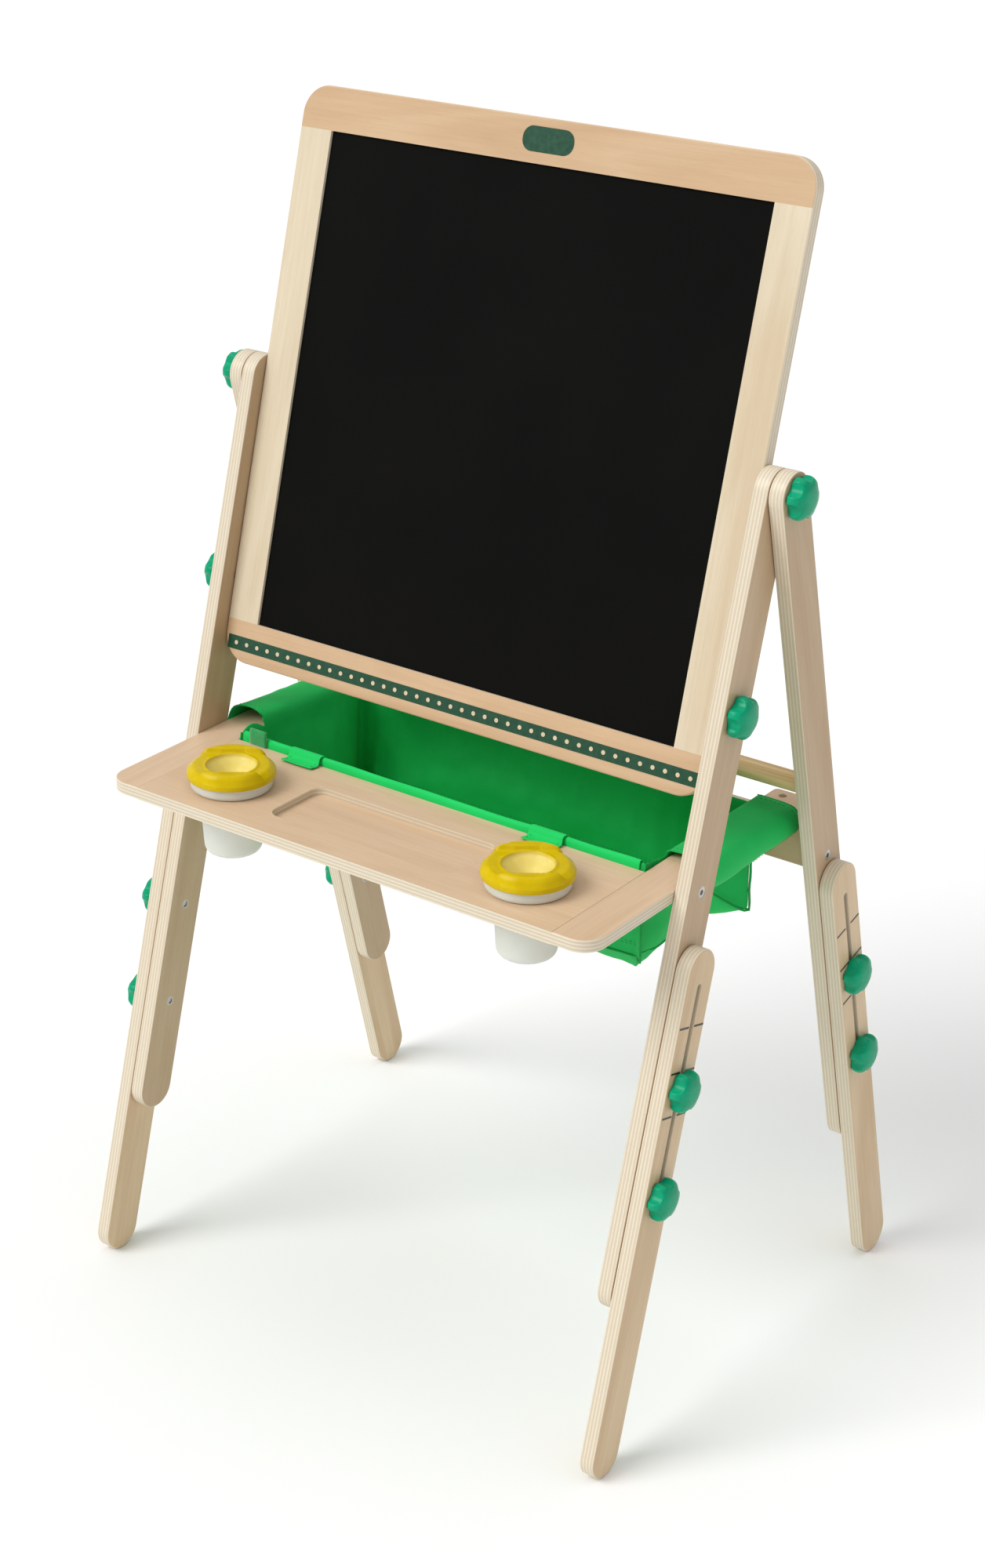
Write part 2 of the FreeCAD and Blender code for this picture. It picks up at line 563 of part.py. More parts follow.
def make_cups():
    """A lidded cup in each hole of the tray."""
    for name, side in SIDES.items():
        place = V(side * CUP_X, CUP_Y, TRAY_TOP)
        for node, shape in (("paint_cup_", cup()), ("cup_lid_", lid())):
            shape.translate(place)
            save(node + name, shape)


def make_bin():
    """Open-topped fabric bin: its sides carry sleeves round the arms, its front edge has a hem."""
    outer_x = ARM_INNER - BIN_GAP
    front = PANEL_REAR + BIN_GAP
    sleeve_bottom = TRAY_UNDER - BIN_GAP - CLOTH
    sleeve_top = TRAY_TOP + BIN_GAP + CLOTH
    shell = box((-outer_x, outer_x), (front, BIN_REAR), (BIN_BOTTOM, sleeve_top))
    hollow = box((CLOTH - outer_x, outer_x - CLOTH), (front + CLOTH, BIN_REAR - CLOTH),
                 (BIN_BOTTOM + CLOTH, sleeve_top + 1))
    shell = shell.cut(hollow)
    shell = shell.fuse(box((-outer_x, outer_x), (front, front + HEM_THICK), (HEM_BOTTOM, HEM_TOP)))
    for side in SIDES.values():
        sleeve = box((outer_x - CLOTH, ARM_OUTER + BIN_GAP + CLOTH), (SLEEVE_FRONT, BIN_REAR),
                     (sleeve_bottom, sleeve_top))
        cavity = box((outer_x, ARM_OUTER + BIN_GAP), (SLEEVE_FRONT - 1, BIN_REAR + 1),
                     (TRAY_UNDER - BIN_GAP, TRAY_TOP + BIN_GAP))
        shell = shell.fuse(on_side(sleeve.cut(cavity), side))
    save("fabric_bin", shell.removeSplitter())
    low = TRAY_TOP + TAB_LIFT
    tabs = [box((x - TAB_HALF, x + TAB_HALF), (TAB_FRONT, PANEL_REAR), (low, low + TAB_THICK)) for x in TAB_X]
    save("bin_tabs", group(tabs))


def main():
    os.makedirs("parts", exist_ok=True)
    make_front_legs()
    make_rear_legs()
    make_extensions("front", FRONT_LENGTH, MIDDLE_LAYER_X, -FRONT_TILT)
    make_extensions("rear", REAR_LENGTH, OUTER_LAYER_X, REAR_TILT)
    make_leg_inserts()
    make_board_frame()
    make_board_panels()
    make_tray()
    make_bolts()
    make_cross_members()
    make_knobs()
    make_cups()
    make_bin()


main()
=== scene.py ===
import json
import math

import bmesh
import bpy
from mathutils import Matrix, Vector, noise

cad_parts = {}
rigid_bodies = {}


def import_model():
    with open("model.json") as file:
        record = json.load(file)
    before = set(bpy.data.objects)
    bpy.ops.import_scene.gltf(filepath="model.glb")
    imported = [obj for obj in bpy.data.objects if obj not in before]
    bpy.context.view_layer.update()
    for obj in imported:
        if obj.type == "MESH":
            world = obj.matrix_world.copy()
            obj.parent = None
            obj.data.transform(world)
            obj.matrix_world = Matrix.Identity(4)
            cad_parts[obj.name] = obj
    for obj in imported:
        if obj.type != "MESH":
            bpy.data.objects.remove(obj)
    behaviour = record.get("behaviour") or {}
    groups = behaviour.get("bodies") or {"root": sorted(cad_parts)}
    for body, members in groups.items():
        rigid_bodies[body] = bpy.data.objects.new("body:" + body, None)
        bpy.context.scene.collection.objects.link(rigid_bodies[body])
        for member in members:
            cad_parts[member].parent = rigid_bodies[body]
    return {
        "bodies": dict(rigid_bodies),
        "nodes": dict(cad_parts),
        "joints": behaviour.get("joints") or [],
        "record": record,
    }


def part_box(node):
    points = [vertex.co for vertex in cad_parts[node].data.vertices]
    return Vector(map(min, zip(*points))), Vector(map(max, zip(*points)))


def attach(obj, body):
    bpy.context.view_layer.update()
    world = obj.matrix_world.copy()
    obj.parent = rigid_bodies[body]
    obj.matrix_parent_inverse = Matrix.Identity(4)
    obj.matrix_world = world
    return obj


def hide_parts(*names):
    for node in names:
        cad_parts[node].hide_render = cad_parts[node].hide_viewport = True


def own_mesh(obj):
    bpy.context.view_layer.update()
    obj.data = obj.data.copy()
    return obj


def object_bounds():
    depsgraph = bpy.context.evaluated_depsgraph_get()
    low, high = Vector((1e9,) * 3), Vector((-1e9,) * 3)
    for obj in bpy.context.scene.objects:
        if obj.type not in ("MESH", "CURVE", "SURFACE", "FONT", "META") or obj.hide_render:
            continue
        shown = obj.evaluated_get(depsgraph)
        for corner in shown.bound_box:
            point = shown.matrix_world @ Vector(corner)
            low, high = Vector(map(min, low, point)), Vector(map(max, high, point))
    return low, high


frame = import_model()
CAD_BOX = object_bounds()
NODES = frame["nodes"]
SIDES = {"left": -1, "right": 1}


# ---------------------------------------------------------------- places and axes from the frame
def joint(name):
    return next(entry for entry in frame["joints"] if entry["name"] == name)


PIVOT = Vector(joint("board_turn")["pos_m"])
FRONT_DOWN = Vector(joint("front_extension_right_slide")["axis"]).normalized()
REAR_DOWN = Vector(joint("rear_extension_right_slide")["axis"]).normalized()
BOARD_FACE = Vector(next(m for m in frame["record"]["mounts"] if m["name"] == "sign_face")["axis"])
BOARD_UP = BOARD_FACE.cross(Vector((1, 0, 0))).normalized()
BOARD_HALF = max(v.co.dot(BOARD_FACE) for v in NODES["board_top_rail"].data.vertices) - PIVOT.dot(BOARD_FACE)
TRAY_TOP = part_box("tray_panel")[1].z
TRAY_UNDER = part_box("tray_panel")[0].z
PANEL_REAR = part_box("tray_panel")[1].y
X_AXIS = Vector((1, 0, 0))
Y_AXIS = Vector((0, 1, 0))
Z_AXIS = Vector((0, 0, 1))


# ---------------------------------------------------------------- camera, floor and light
def make_camera():
    """A camera in front of the right side, at the height of a standing adult's eyes."""
    azimuth, elevation, roll = math.radians(37.21), math.radians(24.61), math.radians(0.22)
    target = Vector((0.0167, -0.1133, 0.572))
    distance = 2.4924
    back = Vector((math.sin(azimuth) * math.cos(elevation), -math.cos(azimuth) * math.cos(elevation),
                   math.sin(elevation)))
    data = bpy.data.cameras.new("camera")
    data.lens = 62.85
    data.sensor_width = 36.0
    data.shift_x = 0.0373
    data.shift_y = -0.0036
    data.clip_start, data.clip_end = 0.05, 50.0
    camera = bpy.data.objects.new("camera", data)
    bpy.context.scene.collection.objects.link(camera)
    turn = (-back).to_track_quat("-Z", "Y").to_matrix() @ Matrix.Rotation(roll, 3, "Z")
    camera.matrix_world = Matrix.Translation(target + back * distance) @ turn.to_4x4()
    bpy.context.scene.camera = camera


def sun(name, toward, strength, spread):
    """A wide soft light from that direction, the same all over the floor."""
    data = bpy.data.lights.new(name, "SUN")
    data.energy = strength
    data.angle = math.radians(spread)
    light = bpy.data.objects.new(name, data)
    bpy.context.scene.collection.objects.link(light)
    light.rotation_euler = Vector(toward).to_track_quat("Z", "Y").to_euler()


def make_studio():
    """A plain pale floor and soft, nearly shadowless light from all round."""
    mesh = bpy.data.meshes.new("floor")
    half = 12.0
    corners = [(-half, -half, 0), (half, -half, 0), (half, half, 0), (-half, half, 0)]
    mesh.from_pydata(corners, [], [(0, 1, 2, 3)])
    floor = bpy.data.objects.new("floor", mesh)
    bpy.context.scene.collection.objects.link(floor)
    floor.location.z = CAD_BOX[0].z - 0.0005
    material, shader, _ = new_material("studio_floor")
    shader.inputs["Base Color"].default_value = (0.95, 0.95, 0.95, 1)
    shader.inputs["Roughness"].default_value = 0.9
    mesh.materials.append(material)
    world = bpy.data.worlds.new("studio")
    bpy.context.scene.world = world
    world.use_nodes = True
    world.node_tree.nodes["Background"].inputs["Color"].default_value = (1.0, 1.0, 1.0, 1)
    world.node_tree.nodes["Background"].inputs["Strength"].default_value = 0.50
    sun("key", (-0.35, -0.65, 0.68), 1.9, 34)
    sun("top", (0.05, 0.10, 1.0), 0.65, 60)
    bpy.context.scene.view_settings.view_transform = "Standard"


# ---------------------------------------------------------------- materials
def new_material(name):
    """A material, its principled shader and a function that adds a node with inputs set by name."""
    material = bpy.data.materials.new(name)
    material.use_nodes = True
    tree = material.node_tree
    shader = tree.nodes["Principled BSDF"]

    def add(kind, inputs=(), **settings):
        node = tree.nodes.new(kind)
        for key, value in settings.items():
            setattr(node, key, value)
        for key, value in dict(inputs).items():
            if isinstance(value, bpy.types.NodeSocket):
                tree.links.new(value, node.inputs[key])
            else:
                node.inputs[key].default_value = value
        return node

    return material, shader, add


def link(material, output, target):
    material.node_tree.links.new(output, target)


def ramp(add, value, stops, interpolation="LINEAR"):
    """A colour ramp with (position, colour) stops; colours may be one number for grey."""
    node = add("ShaderNodeValToRGB", {"Fac": value})
    node.color_ramp.interpolation = interpolation
    elements = node.color_ramp.elements
    while len(elements) < len(stops):
        elements.new(0.5)
    for element, (position, colour) in zip(elements, stops):
        element.position = position
        element.color = (colour, colour, colour, 1) if isinstance(colour, float) else (*colour, 1)
    return node.outputs["Color"]


def mixed(add, factor, colour_a, colour_b, blend="MIX"):
    node = add("ShaderNodeMix", data_type="RGBA", blend_type=blend)
    tree = node.id_data
    for index, value in ((0, factor), (6, colour_a), (7, colour_b)):
        if isinstance(value, bpy.types.NodeSocket):
            tree.links.new(value, node.inputs[index])
        elif index == 0:
            node.inputs[index].default_value = value
        else:
            node.inputs[index].default_value = (*value, 1)
    return node.outputs[2]


def maths(add, operation, first, second=0.0, third=None):
    node = add("ShaderNodeMath", {0: first, 1: second}, operation=operation)
    if third is not None:
        if isinstance(third, bpy.types.NodeSocket):
            node.id_data.links.new(third, node.inputs[2])
        else:
            node.inputs[2].default_value = third
    return node.outputs[0]


VENEER_DARK = (0.54, 0.385, 0.235)
VENEER_MID = (0.70, 0.535, 0.345)
VENEER_LIGHT = (0.80, 0.655, 0.46)
PLY_PALE = (0.77, 0.68, 0.53)
PLY_DARK = (0.63, 0.54, 0.40)
GLUE_LINE = (0.50, 0.41, 0.29)
CREAM = (0.90, 0.95, 0.99)
HONEY = (0.93, 0.84, 0.80)
ORANGE = (0.80, 0.68, 0.58)
AMBER = (0.72, 0.64, 0.56)
BUFF = (0.94, 0.87, 0.78)


def plywood(name, node, across, grain, plies, tint):
    """Birch plywood for one plank: across is the direction through its layers, grain runs along it.

    tint multiplies the veneer's colour, because the planks come from several sheets.
    """
    material, shader, add = new_material(name)
    across = Vector(across).normalized()
    grain = Vector(grain).normalized()
    width = grain.cross(across).normalized()
    points = [vertex.co.dot(across) for vertex in NODES[node].data.vertices]
    low, high = min(points), max(points)
    coordinates = add("ShaderNodeTexCoord")
    shift = sum(ord(letter) * (place + 3) for place, letter in enumerate(name)) % 97 * 0.173

    def along(direction, source, offset=0.0):
        dot = add("ShaderNodeVectorMath", {0: source, 1: direction}, operation="DOT_PRODUCT").outputs["Value"]
        return maths(add, "ADD", dot, offset) if offset else dot

    position = coordinates.outputs["Object"]
    depth = along(across, position)
    across_grain = along(width, position, shift)
    along_grain = along(grain, position, shift)
    local = add("ShaderNodeCombineXYZ", {"X": across_grain, "Y": along_grain, "Z": depth}).outputs[0]
    facing = maths(add, "ABSOLUTE", along(across, coordinates.outputs["Normal"]))
    on_face = ramp(add, facing, [(0.55, 0.0), (0.85, 1.0)])

    def stretched(scale, detail, roughness=0.55, distortion=0.0):
        mapping = add("ShaderNodeMapping", {"Vector": local, "Scale": scale})
        return add("ShaderNodeTexNoise", {"Vector": mapping.outputs[0], "Scale": 1.0, "Detail": detail,
                                          "Roughness": roughness, "Distortion": distortion}).outputs["Fac"]

    figure = stretched((16.0, 1.6, 6.0), 3.0, distortion=1.2)
    grain_lines = stretched((420.0, 9.0, 60.0), 4.0)
    pores = stretched((1500.0, 70.0, 300.0), 2.0)
    blotch = stretched((7.0, 2.4, 2.0), 2.0)
    veneer = ramp(add, figure, [(0.30, VENEER_MID), (0.52, VENEER_LIGHT), (0.70, VENEER_MID)])
    veneer = mixed(add, ramp(add, grain_lines, [(0.35, 0.16), (0.62, 0.0)]), veneer, VENEER_DARK)
    veneer = mixed(add, ramp(add, pores, [(0.30, 0.20), (0.42, 0.0)]), veneer, VENEER_DARK)
    veneer = mixed(add, ramp(add, blotch, [(0.35, 0.0), (0.75, 0.22)]), veneer, VENEER_DARK)

    layer = maths(add, "MULTIPLY", maths(add, "SUBTRACT", depth, low), plies / (high - low))
    wobble = maths(add, "MULTIPLY", maths(add, "SUBTRACT", stretched((30.0, 6.0, 30.0), 2.0), 0.5), 0.22)
    layer = maths(add, "ADD", layer, wobble)
    phase = maths(add, "FRACT", layer)
    which = maths(add, "FRACT", maths(add, "MULTIPLY", maths(add, "FLOOR", layer), 0.5))
    fibres = stretched((900.0, 30.0, 900.0), 3.0)
    end_grain = stretched((260.0, 260.0, 260.0), 2.0)
    ply_colour = mixed(add, ramp(add, which, [(0.2, 0.0), (0.3, 1.0)]), PLY_PALE, PLY_DARK)
    ply_colour = mixed(add, ramp(add, fibres, [(0.3, 0.25), (0.6, 0.0)]), ply_colour, PLY_DARK)
    ply_colour = mixed(add, ramp(add, end_grain, [(0.30, 0.30), (0.45, 0.0)]), ply_colour, PLY_DARK)
    glue = ramp(add, phase, [(0.0, 0.55), (0.07, 0.0), (0.93, 0.0), (1.0, 0.55)])
    ply_colour = mixed(add, glue, ply_colour, GLUE_LINE)

    veneer = mixed(add, 1.0, veneer, tint, "MULTIPLY")
    colour = mixed(add, on_face, ply_colour, veneer)
    link(material, colour, shader.inputs["Base Color"])
    link(material, ramp(add, grain_lines, [(0.3, 0.50), (0.7, 0.40)]), shader.inputs["Roughness"])
    shader.inputs["Coat Weight"].default_value = 0.12
    shader.inputs["Coat Roughness"].default_value = 0.30
    height = maths(add, "ADD", maths(add, "MULTIPLY", grain_lines, 0.5), maths(add, "MULTIPLY", pores, 0.5))
    edge_glue = maths(add, "MULTIPLY", maths(add, "SUBTRACT", 1.0, on_face), glue)
    height = maths(add, "SUBTRACT", height, edge_glue)
    bump = add("ShaderNodeBump", {"Height": height, "Strength": 0.10, "Distance": 0.0006})
    link(material, bump.outputs[0], shader.inputs["Normal"])
    return material


def dress(node, material):
    """Give a CAD node one material."""
    mesh = NODES[node].data
    mesh.materials.clear()
    mesh.materials.append(material)
    for polygon in mesh.polygons:
        polygon.material_index = 0


def dress_wood():
    """Every plank has its own birch plywood, laid along its own grain."""
    for side in SIDES:
        for name, down, tint in (("front_leg", FRONT_DOWN, AMBER), ("front_extension", FRONT_DOWN, BUFF),
                                 ("rear_leg", REAR_DOWN, AMBER), ("rear_extension", REAR_DOWN, BUFF)):
            node = name + "_" + side
            dress(node, plywood(node, node, X_AXIS, down, 9, tint))
        node = "board_stile_" + side
        dress(node, plywood(node, node, BOARD_FACE, BOARD_UP, 7, CREAM))
        node = "tray_arm_" + side
        dress(node, plywood(node, node, Z_AXIS, Y_AXIS, 7, HONEY))
    for node in ("board_top_rail", "board_bottom_rail"):
        dress(node, plywood(node, node, BOARD_FACE, X_AXIS, 7, ORANGE))
    dress("tray_panel", plywood("tray_panel", "tray_panel", Z_AXIS, X_AXIS, 7, HONEY))
    dress("rear_cross_plank", plywood("rear_cross_plank", "rear_cross_plank", Y_AXIS, X_AXIS, 9, ORANGE))
    for node in ("rear_dowel", "board_dowels", "tray_dowels"):
        dress(node, hardwood(node))


def hardwood(name):
    """Turned hardwood dowel, with grain along X."""
    material, shader, add = new_material(name)
    position = add("ShaderNodeTexCoord").outputs["Object"]
    mapping = add("ShaderNodeMapping", {"Vector": position, "Scale": (5.0, 260.0, 260.0)})
    noise_node = add("ShaderNodeTexNoise", {"Vector": mapping.outputs[0], "Scale": 1.0, "Detail": 4.0})
    grain = noise_node.outputs["Fac"]
    colour = ramp(add, grain, [(0.30, (0.70, 0.46, 0.20)), (0.52, (0.86, 0.62, 0.31)),
                               (0.72, (0.93, 0.72, 0.42))])
    link(material, colour, shader.inputs["Base Color"])
    shader.inputs["Roughness"].default_value = 0.45
    bump = add("ShaderNodeBump", {"Height": grain, "Strength": 0.08, "Distance": 0.0005})
    link(material, bump.outputs[0], shader.inputs["Normal"])
    return material


def surface(name, colour, colour_b, scale, roughness, bump=0.05, detail=3.0, distance=0.0005, **extra):
    """A smooth surface whose colour, roughness and height vary a little."""
    material, shader, add = new_material(name)
    position = add("ShaderNodeTexCoord").outputs["Object"]
    spots = add("ShaderNodeTexNoise", {"Vector": position, "Scale": scale, "Detail": detail}).outputs["Fac"]
    link(material, ramp(add, spots, [(0.32, colour), (0.68, colour_b)]), shader.inputs["Base Color"])
    link(material, ramp(add, spots, [(0.3, roughness[0]), (0.7, roughness[1])]), shader.inputs["Roughness"])
    fine = add("ShaderNodeTexNoise", {"Vector": position, "Scale": scale * 30.0, "Detail": 2.0}).outputs["Fac"]
    height = add("ShaderNodeBump", {"Height": fine, "Strength": bump, "Distance": distance})
    link(material, height.outputs[0], shader.inputs["Normal"])
    for key, value in extra.items():
        shader.inputs[key.replace("_", " ")].default_value = value
    return material


def dress_board_and_metal():
    chalk = surface("chalkboard", (0.0028, 0.0028, 0.0025), (0.0044, 0.0043, 0.0039), 9.0, (0.62, 0.72), 0.25,
                    distance=0.0004, Specular_IOR_Level=0.05)
    dress("chalkboard_panel", chalk)
    dress("whiteboard_panel", surface("whiteboard", (0.86, 0.87, 0.86), (0.90, 0.90, 0.89), 6.0,
                                      (0.10, 0.16), 0.02))
    steel = surface("zinc_steel", (0.42, 0.42, 0.40), (0.62, 0.61, 0.58), 160.0, (0.28, 0.42), 0.08,
                    Metallic=1.0)
    for node in NODES:
        if "stud" in node or "inserts" in node or "bolts" in node:
            dress(node, steel)


# ---------------------------------------------------------------- meshes built in code
def mesh_piece(name, vertices, faces, material, smooth=True, place=(0, 0, 0)):
    mesh = bpy.data.meshes.new(name)
    mesh.from_pydata([tuple(v) for v in vertices], [], faces)
    mesh.validate()
    build = bmesh.new()
    build.from_mesh(mesh)
    bmesh.ops.recalc_face_normals(build, faces=build.faces)
    build.to_mesh(mesh)
    build.free()
    for polygon in mesh.polygons:
        polygon.use_smooth = smooth
    piece = bpy.data.objects.new(name, mesh)
    piece.location = place
    bpy.context.scene.collection.objects.link(piece)
    mesh.materials.append(material)
    return piece


def revolved(radius_at, rings, segments):
    """Vertices and faces of a closed form round Z: radius_at(ring, angle) gives (radius, height)."""
    vertices, faces = [], []
    for ring in range(rings):
        for segment in range(segments):
            angle = 2 * math.pi * segment / segments
            radius, height = radius_at(ring, angle)
            vertices.append((radius * math.cos(angle), radius * math.sin(angle), height))
    for ring in range(rings - 1):
        for segment in range(segments):
            after = (segment + 1) % segments
            faces.append((ring * segments + segment, ring * segments + after,
                          (ring + 1) * segments + after, (ring + 1) * segments + segment))
    faces.append(tuple(range(segments)))
    faces.append(tuple((rings - 1) * segments + segment for segment in reversed(range(segments))))
    return vertices, faces


def rounded(points, radius, steps=5):
    """The (r, z) outline with each inner corner rounded by about that radius."""
    result = [Vector(points[0])]
    for index in range(1, len(points) - 1):
        corner = Vector(points[index])
        before, after = Vector(points[index - 1]) - corner, Vector(points[index + 1]) - corner
        cut = min(radius, before.length * 0.45, after.length * 0.45)
        start, end = corner + before.normalized() * cut, corner + after.normalized() * cut
        for step in range(steps + 1):
            t = step / steps
            result.append(start * (1 - t) ** 2 + corner * 2 * t * (1 - t) + end * t * t)
    result.append(Vector(points[-1]))
    return result


def smooth_low(a, b, width):
    """The lower of two lengths, eased where they meet."""
    share = max(width - abs(a - b), 0.0) / width
    return min(a, b) - share * share * width / 4


# ---------------------------------------------------------------- knobs
def make_knobs():
    material = knob_plastic()
    for body in frame["bodies"]:
        if not (body.endswith("_knob_left") or body.endswith("_knob_right")):
            continue
        side = SIDES[body.rsplit("_", 1)[1]]
        low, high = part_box(body)
        height, radius = high.x - low.x, (high.z - low.z) / 2
        seat = Vector((low.x if side > 0 else high.x, (low.y + high.y) / 2, (low.z + high.z) / 2))
        top = height
        outline = rounded([(0.004, 0.0), (radius - 0.0004, 0.0), (radius, height * 0.47),
                           (radius * 0.90, height * 0.74), (radius * 0.52, height * 0.95),
                           (0.0006, top)], 0.0045, 7)
        flute, away = 0.0086, radius - 0.0046 + 0.0086
        phase = math.radians(-15 + 25 * noise.noise(seat * 31.0))

        def radius_at(ring, angle):
            r, z = outline[ring]
            nearest = math.pi / 3
            offset = (angle - phase + nearest / 2) % nearest - nearest / 2
            across = away * math.sin(offset)
            wall = away * math.cos(offset) - math.sqrt(max(flute * flute - across * across, 0.0)) \
                if abs(across) < flute else 1.0
            return smooth_low(r, wall, 0.0022), z

        vertices, faces = revolved(radius_at, len(outline), 144)
        turn = Matrix(((0, 0, side), (-1, 0, 0), (0, 1, 0)))
        piece = mesh_piece(body + "_grip", [turn @ Vector(v) for v in vertices], faces, material, place=seat)
        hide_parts(body)
        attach(piece, body)


def knob_plastic():
    material, shader, add = new_material("knob_plastic")
    position = add("ShaderNodeTexCoord").outputs["Object"]
    cloud = add("ShaderNodeTexNoise", {"Vector": position, "Scale": 90.0, "Detail": 3.0}).outputs["Fac"]
    link(material, ramp(add, cloud, [(0.3, (0.0, 0.31, 0.150)), (0.7, (0.0, 0.37, 0.185))]),
         shader.inputs["Base Color"])
    link(material, ramp(add, cloud, [(0.3, 0.20), (0.7, 0.30)]), shader.inputs["Roughness"])
    fine = add("ShaderNodeTexNoise", {"Vector": position, "Scale": 1400.0, "Detail": 2.0}).outputs["Fac"]
    bump = add("ShaderNodeBump", {"Height": fine, "Strength": 0.05, "Distance": 0.0003})
    link(material, bump.outputs[0], shader.inputs["Normal"])
    shader.inputs["Subsurface Weight"].default_value = 0.15
    shader.inputs["Specular IOR Level"].default_value = 0.18
    shader.inputs["Subsurface Radius"].default_value = (0.001, 0.003, 0.002)
    return material


# ---------------------------------------------------------------- cups and lids
def cup_plastic():
    material, shader, add = new_material("cup_plastic")
    position = add("ShaderNodeTexCoord").outputs["Object"]
    cloud = add("ShaderNodeTexNoise", {"Vector": position, "Scale": 45.0, "Detail": 3.0}).outputs["Fac"]
    link(material, ramp(add, cloud, [(0.3, (0.86, 0.89, 0.80)), (0.7, (0.91, 0.93, 0.86))]),
         shader.inputs["Base Color"])
    link(material, ramp(add, cloud, [(0.3, 0.34), (0.7, 0.44)]), shader.inputs["Roughness"])
    fine = add("ShaderNodeTexNoise", {"Vector": position, "Scale": 900.0, "Detail": 2.0}).outputs["Fac"]
    bump = add("ShaderNodeBump", {"Height": fine, "Strength": 0.06, "Distance": 0.0003})
    link(material, bump.outputs[0], shader.inputs["Normal"])
    shader.inputs["Subsurface Weight"].default_value = 0.5
    shader.inputs["Subsurface Radius"].default_value = (0.006, 0.006, 0.005)
    shader.inputs["Transmission Weight"].default_value = 0.25
    shader.inputs["IOR"].default_value = 1.3
    return material


def lid_plastic():
    """Yellow plastic whose thin funnel looks paler, because light comes through it."""
    material, shader, add = new_material("lid_plastic")
    position = add("ShaderNodeTexCoord").outputs["Object"]
    apart = add("ShaderNodeSeparateXYZ", {"Vector": position})
    flat = add("ShaderNodeCombineXYZ", {"X": apart.outputs["X"], "Y": apart.outputs["Y"]}).outputs[0]
    radius = add("ShaderNodeVectorMath", {0: flat}, operation="LENGTH").outputs["Value"]
    cloud = add("ShaderNodeTexNoise", {"Vector": position, "Scale": 60.0, "Detail": 3.0}).outputs["Fac"]
    yellow = ramp(add, cloud, [(0.3, (0.60, 0.43, 0.0)), (0.7, (0.68, 0.50, 0.0))])
    pale = ramp(add, cloud, [(0.3, (0.76, 0.61, 0.15)), (0.7, (0.82, 0.70, 0.23))])
    inside = ramp(add, maths(add, "MULTIPLY", radius, 20.0), [(0.455, 1.0), (0.485, 0.0)])
    link(material, mixed(add, inside, yellow, pale), shader.inputs["Base Color"])
    link(material, ramp(add, cloud, [(0.3, 0.20), (0.7, 0.30)]), shader.inputs["Roughness"])
    fine = add("ShaderNodeTexNoise", {"Vector": position, "Scale": 700.0, "Detail": 2.0}).outputs["Fac"]
    bump = add("ShaderNodeBump", {"Height": fine, "Strength": 0.05, "Distance": 0.0003})
    link(material, bump.outputs[0], shader.inputs["Normal"])
    shader.inputs["Subsurface Weight"].default_value = 0.35
    shader.inputs["Specular IOR Level"].default_value = 0.15
    shader.inputs["Subsurface Radius"].default_value = (0.004, 0.003, 0.0005)
    return material


def make_cups():
    cup_material, lid_material = cup_plastic(), lid_plastic()
    turn = math.radians(37)
    for side in SIDES:
        low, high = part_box("paint_cup_" + side)
        place = Vector(((low.x + high.x) / 2, (low.y + high.y) / 2, TRAY_TOP))
        depth, collar, rise = TRAY_TOP - low.z, (high.x - low.x) / 2, high.z - TRAY_TOP
        base, neck = collar - 0.0125, collar - 0.0095
        outline = rounded([(0.001, -depth), (base, -depth), (neck, -0.016), (neck, 0.0001),
                           (collar - 0.001, 0.0001),
                           (collar, rise), (collar - 0.002, rise), (collar - 0.003, 0.0021),
                           (neck - 0.002, 0.0021), (base - 0.002, 0.002 - depth), (0.001, 0.002 - depth)],
                          0.0085, 8)
        vertices, faces = revolved(lambda ring, angle: tuple(outline[ring]), len(outline), 120)
        cup = mesh_piece("paint_cup_" + side + "_shell", vertices, faces, cup_material, place=place)
        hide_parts("paint_cup_" + side)
        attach(cup, "paint_cup_" + side)

        low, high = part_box("cup_lid_" + side)
        radius, top = (high.x - low.x) / 2, high.z - TRAY_TOP
        skirt, ring_top, funnel = 0.0115, top - 0.0048, 0.0240
        wall = 0.0016
        profile = rounded([(0.0070, 0.0055), (funnel - 0.0012, ring_top - 0.0026), (funnel, ring_top + 0.0012),
                           (funnel + 0.0028, ring_top), (radius - 0.0060, ring_top + 0.0006),
                           (radius, ring_top - 0.0042), (radius, skirt), (radius - wall, skirt),
                           (radius - wall, ring_top - 0.006), (radius - 0.008, ring_top - wall - 0.0004),
                           (funnel + 0.002, ring_top - wall - 0.001), (0.0086, 0.0050), (0.0070, 0.0042)],
                          0.0022, 5)
        fine = []
        for start, end in zip(profile, profile[1:]):
            steps = max(1, int((end - start).length / 0.0012))
            fine += [start.lerp(end, step / steps) for step in range(steps)]
        fine.append(profile[-1])

        def lid_at(ring, angle):
            r, z = fine[ring]
            if z > ring_top - 0.003 and r > funnel + 0.0004:
                across = abs(r * math.sin(angle - turn))
                edge = min(max((across - 0.0255) / 0.0014, 0.0), 1.0)
                outer = min(max((radius - 0.0004 - r) / 0.004, 0.0), 1.0)
                z += 0.0046 * edge * edge * (3 - 2 * edge) * outer ** 0.5
            return r, z

        vertices, faces = revolved(lid_at, len(fine), 192)
        faces = faces[:-2]
        last = (len(fine) - 1) * 192
        faces += [(n, (n + 1) % 192, last + (n + 1) % 192, last + n) for n in range(192)]
        cap = mesh_piece("cup_lid_" + side + "_cap", vertices, faces, lid_material, place=place)
        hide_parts("cup_lid_" + side)
        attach(cap, "cup_lid_" + side)


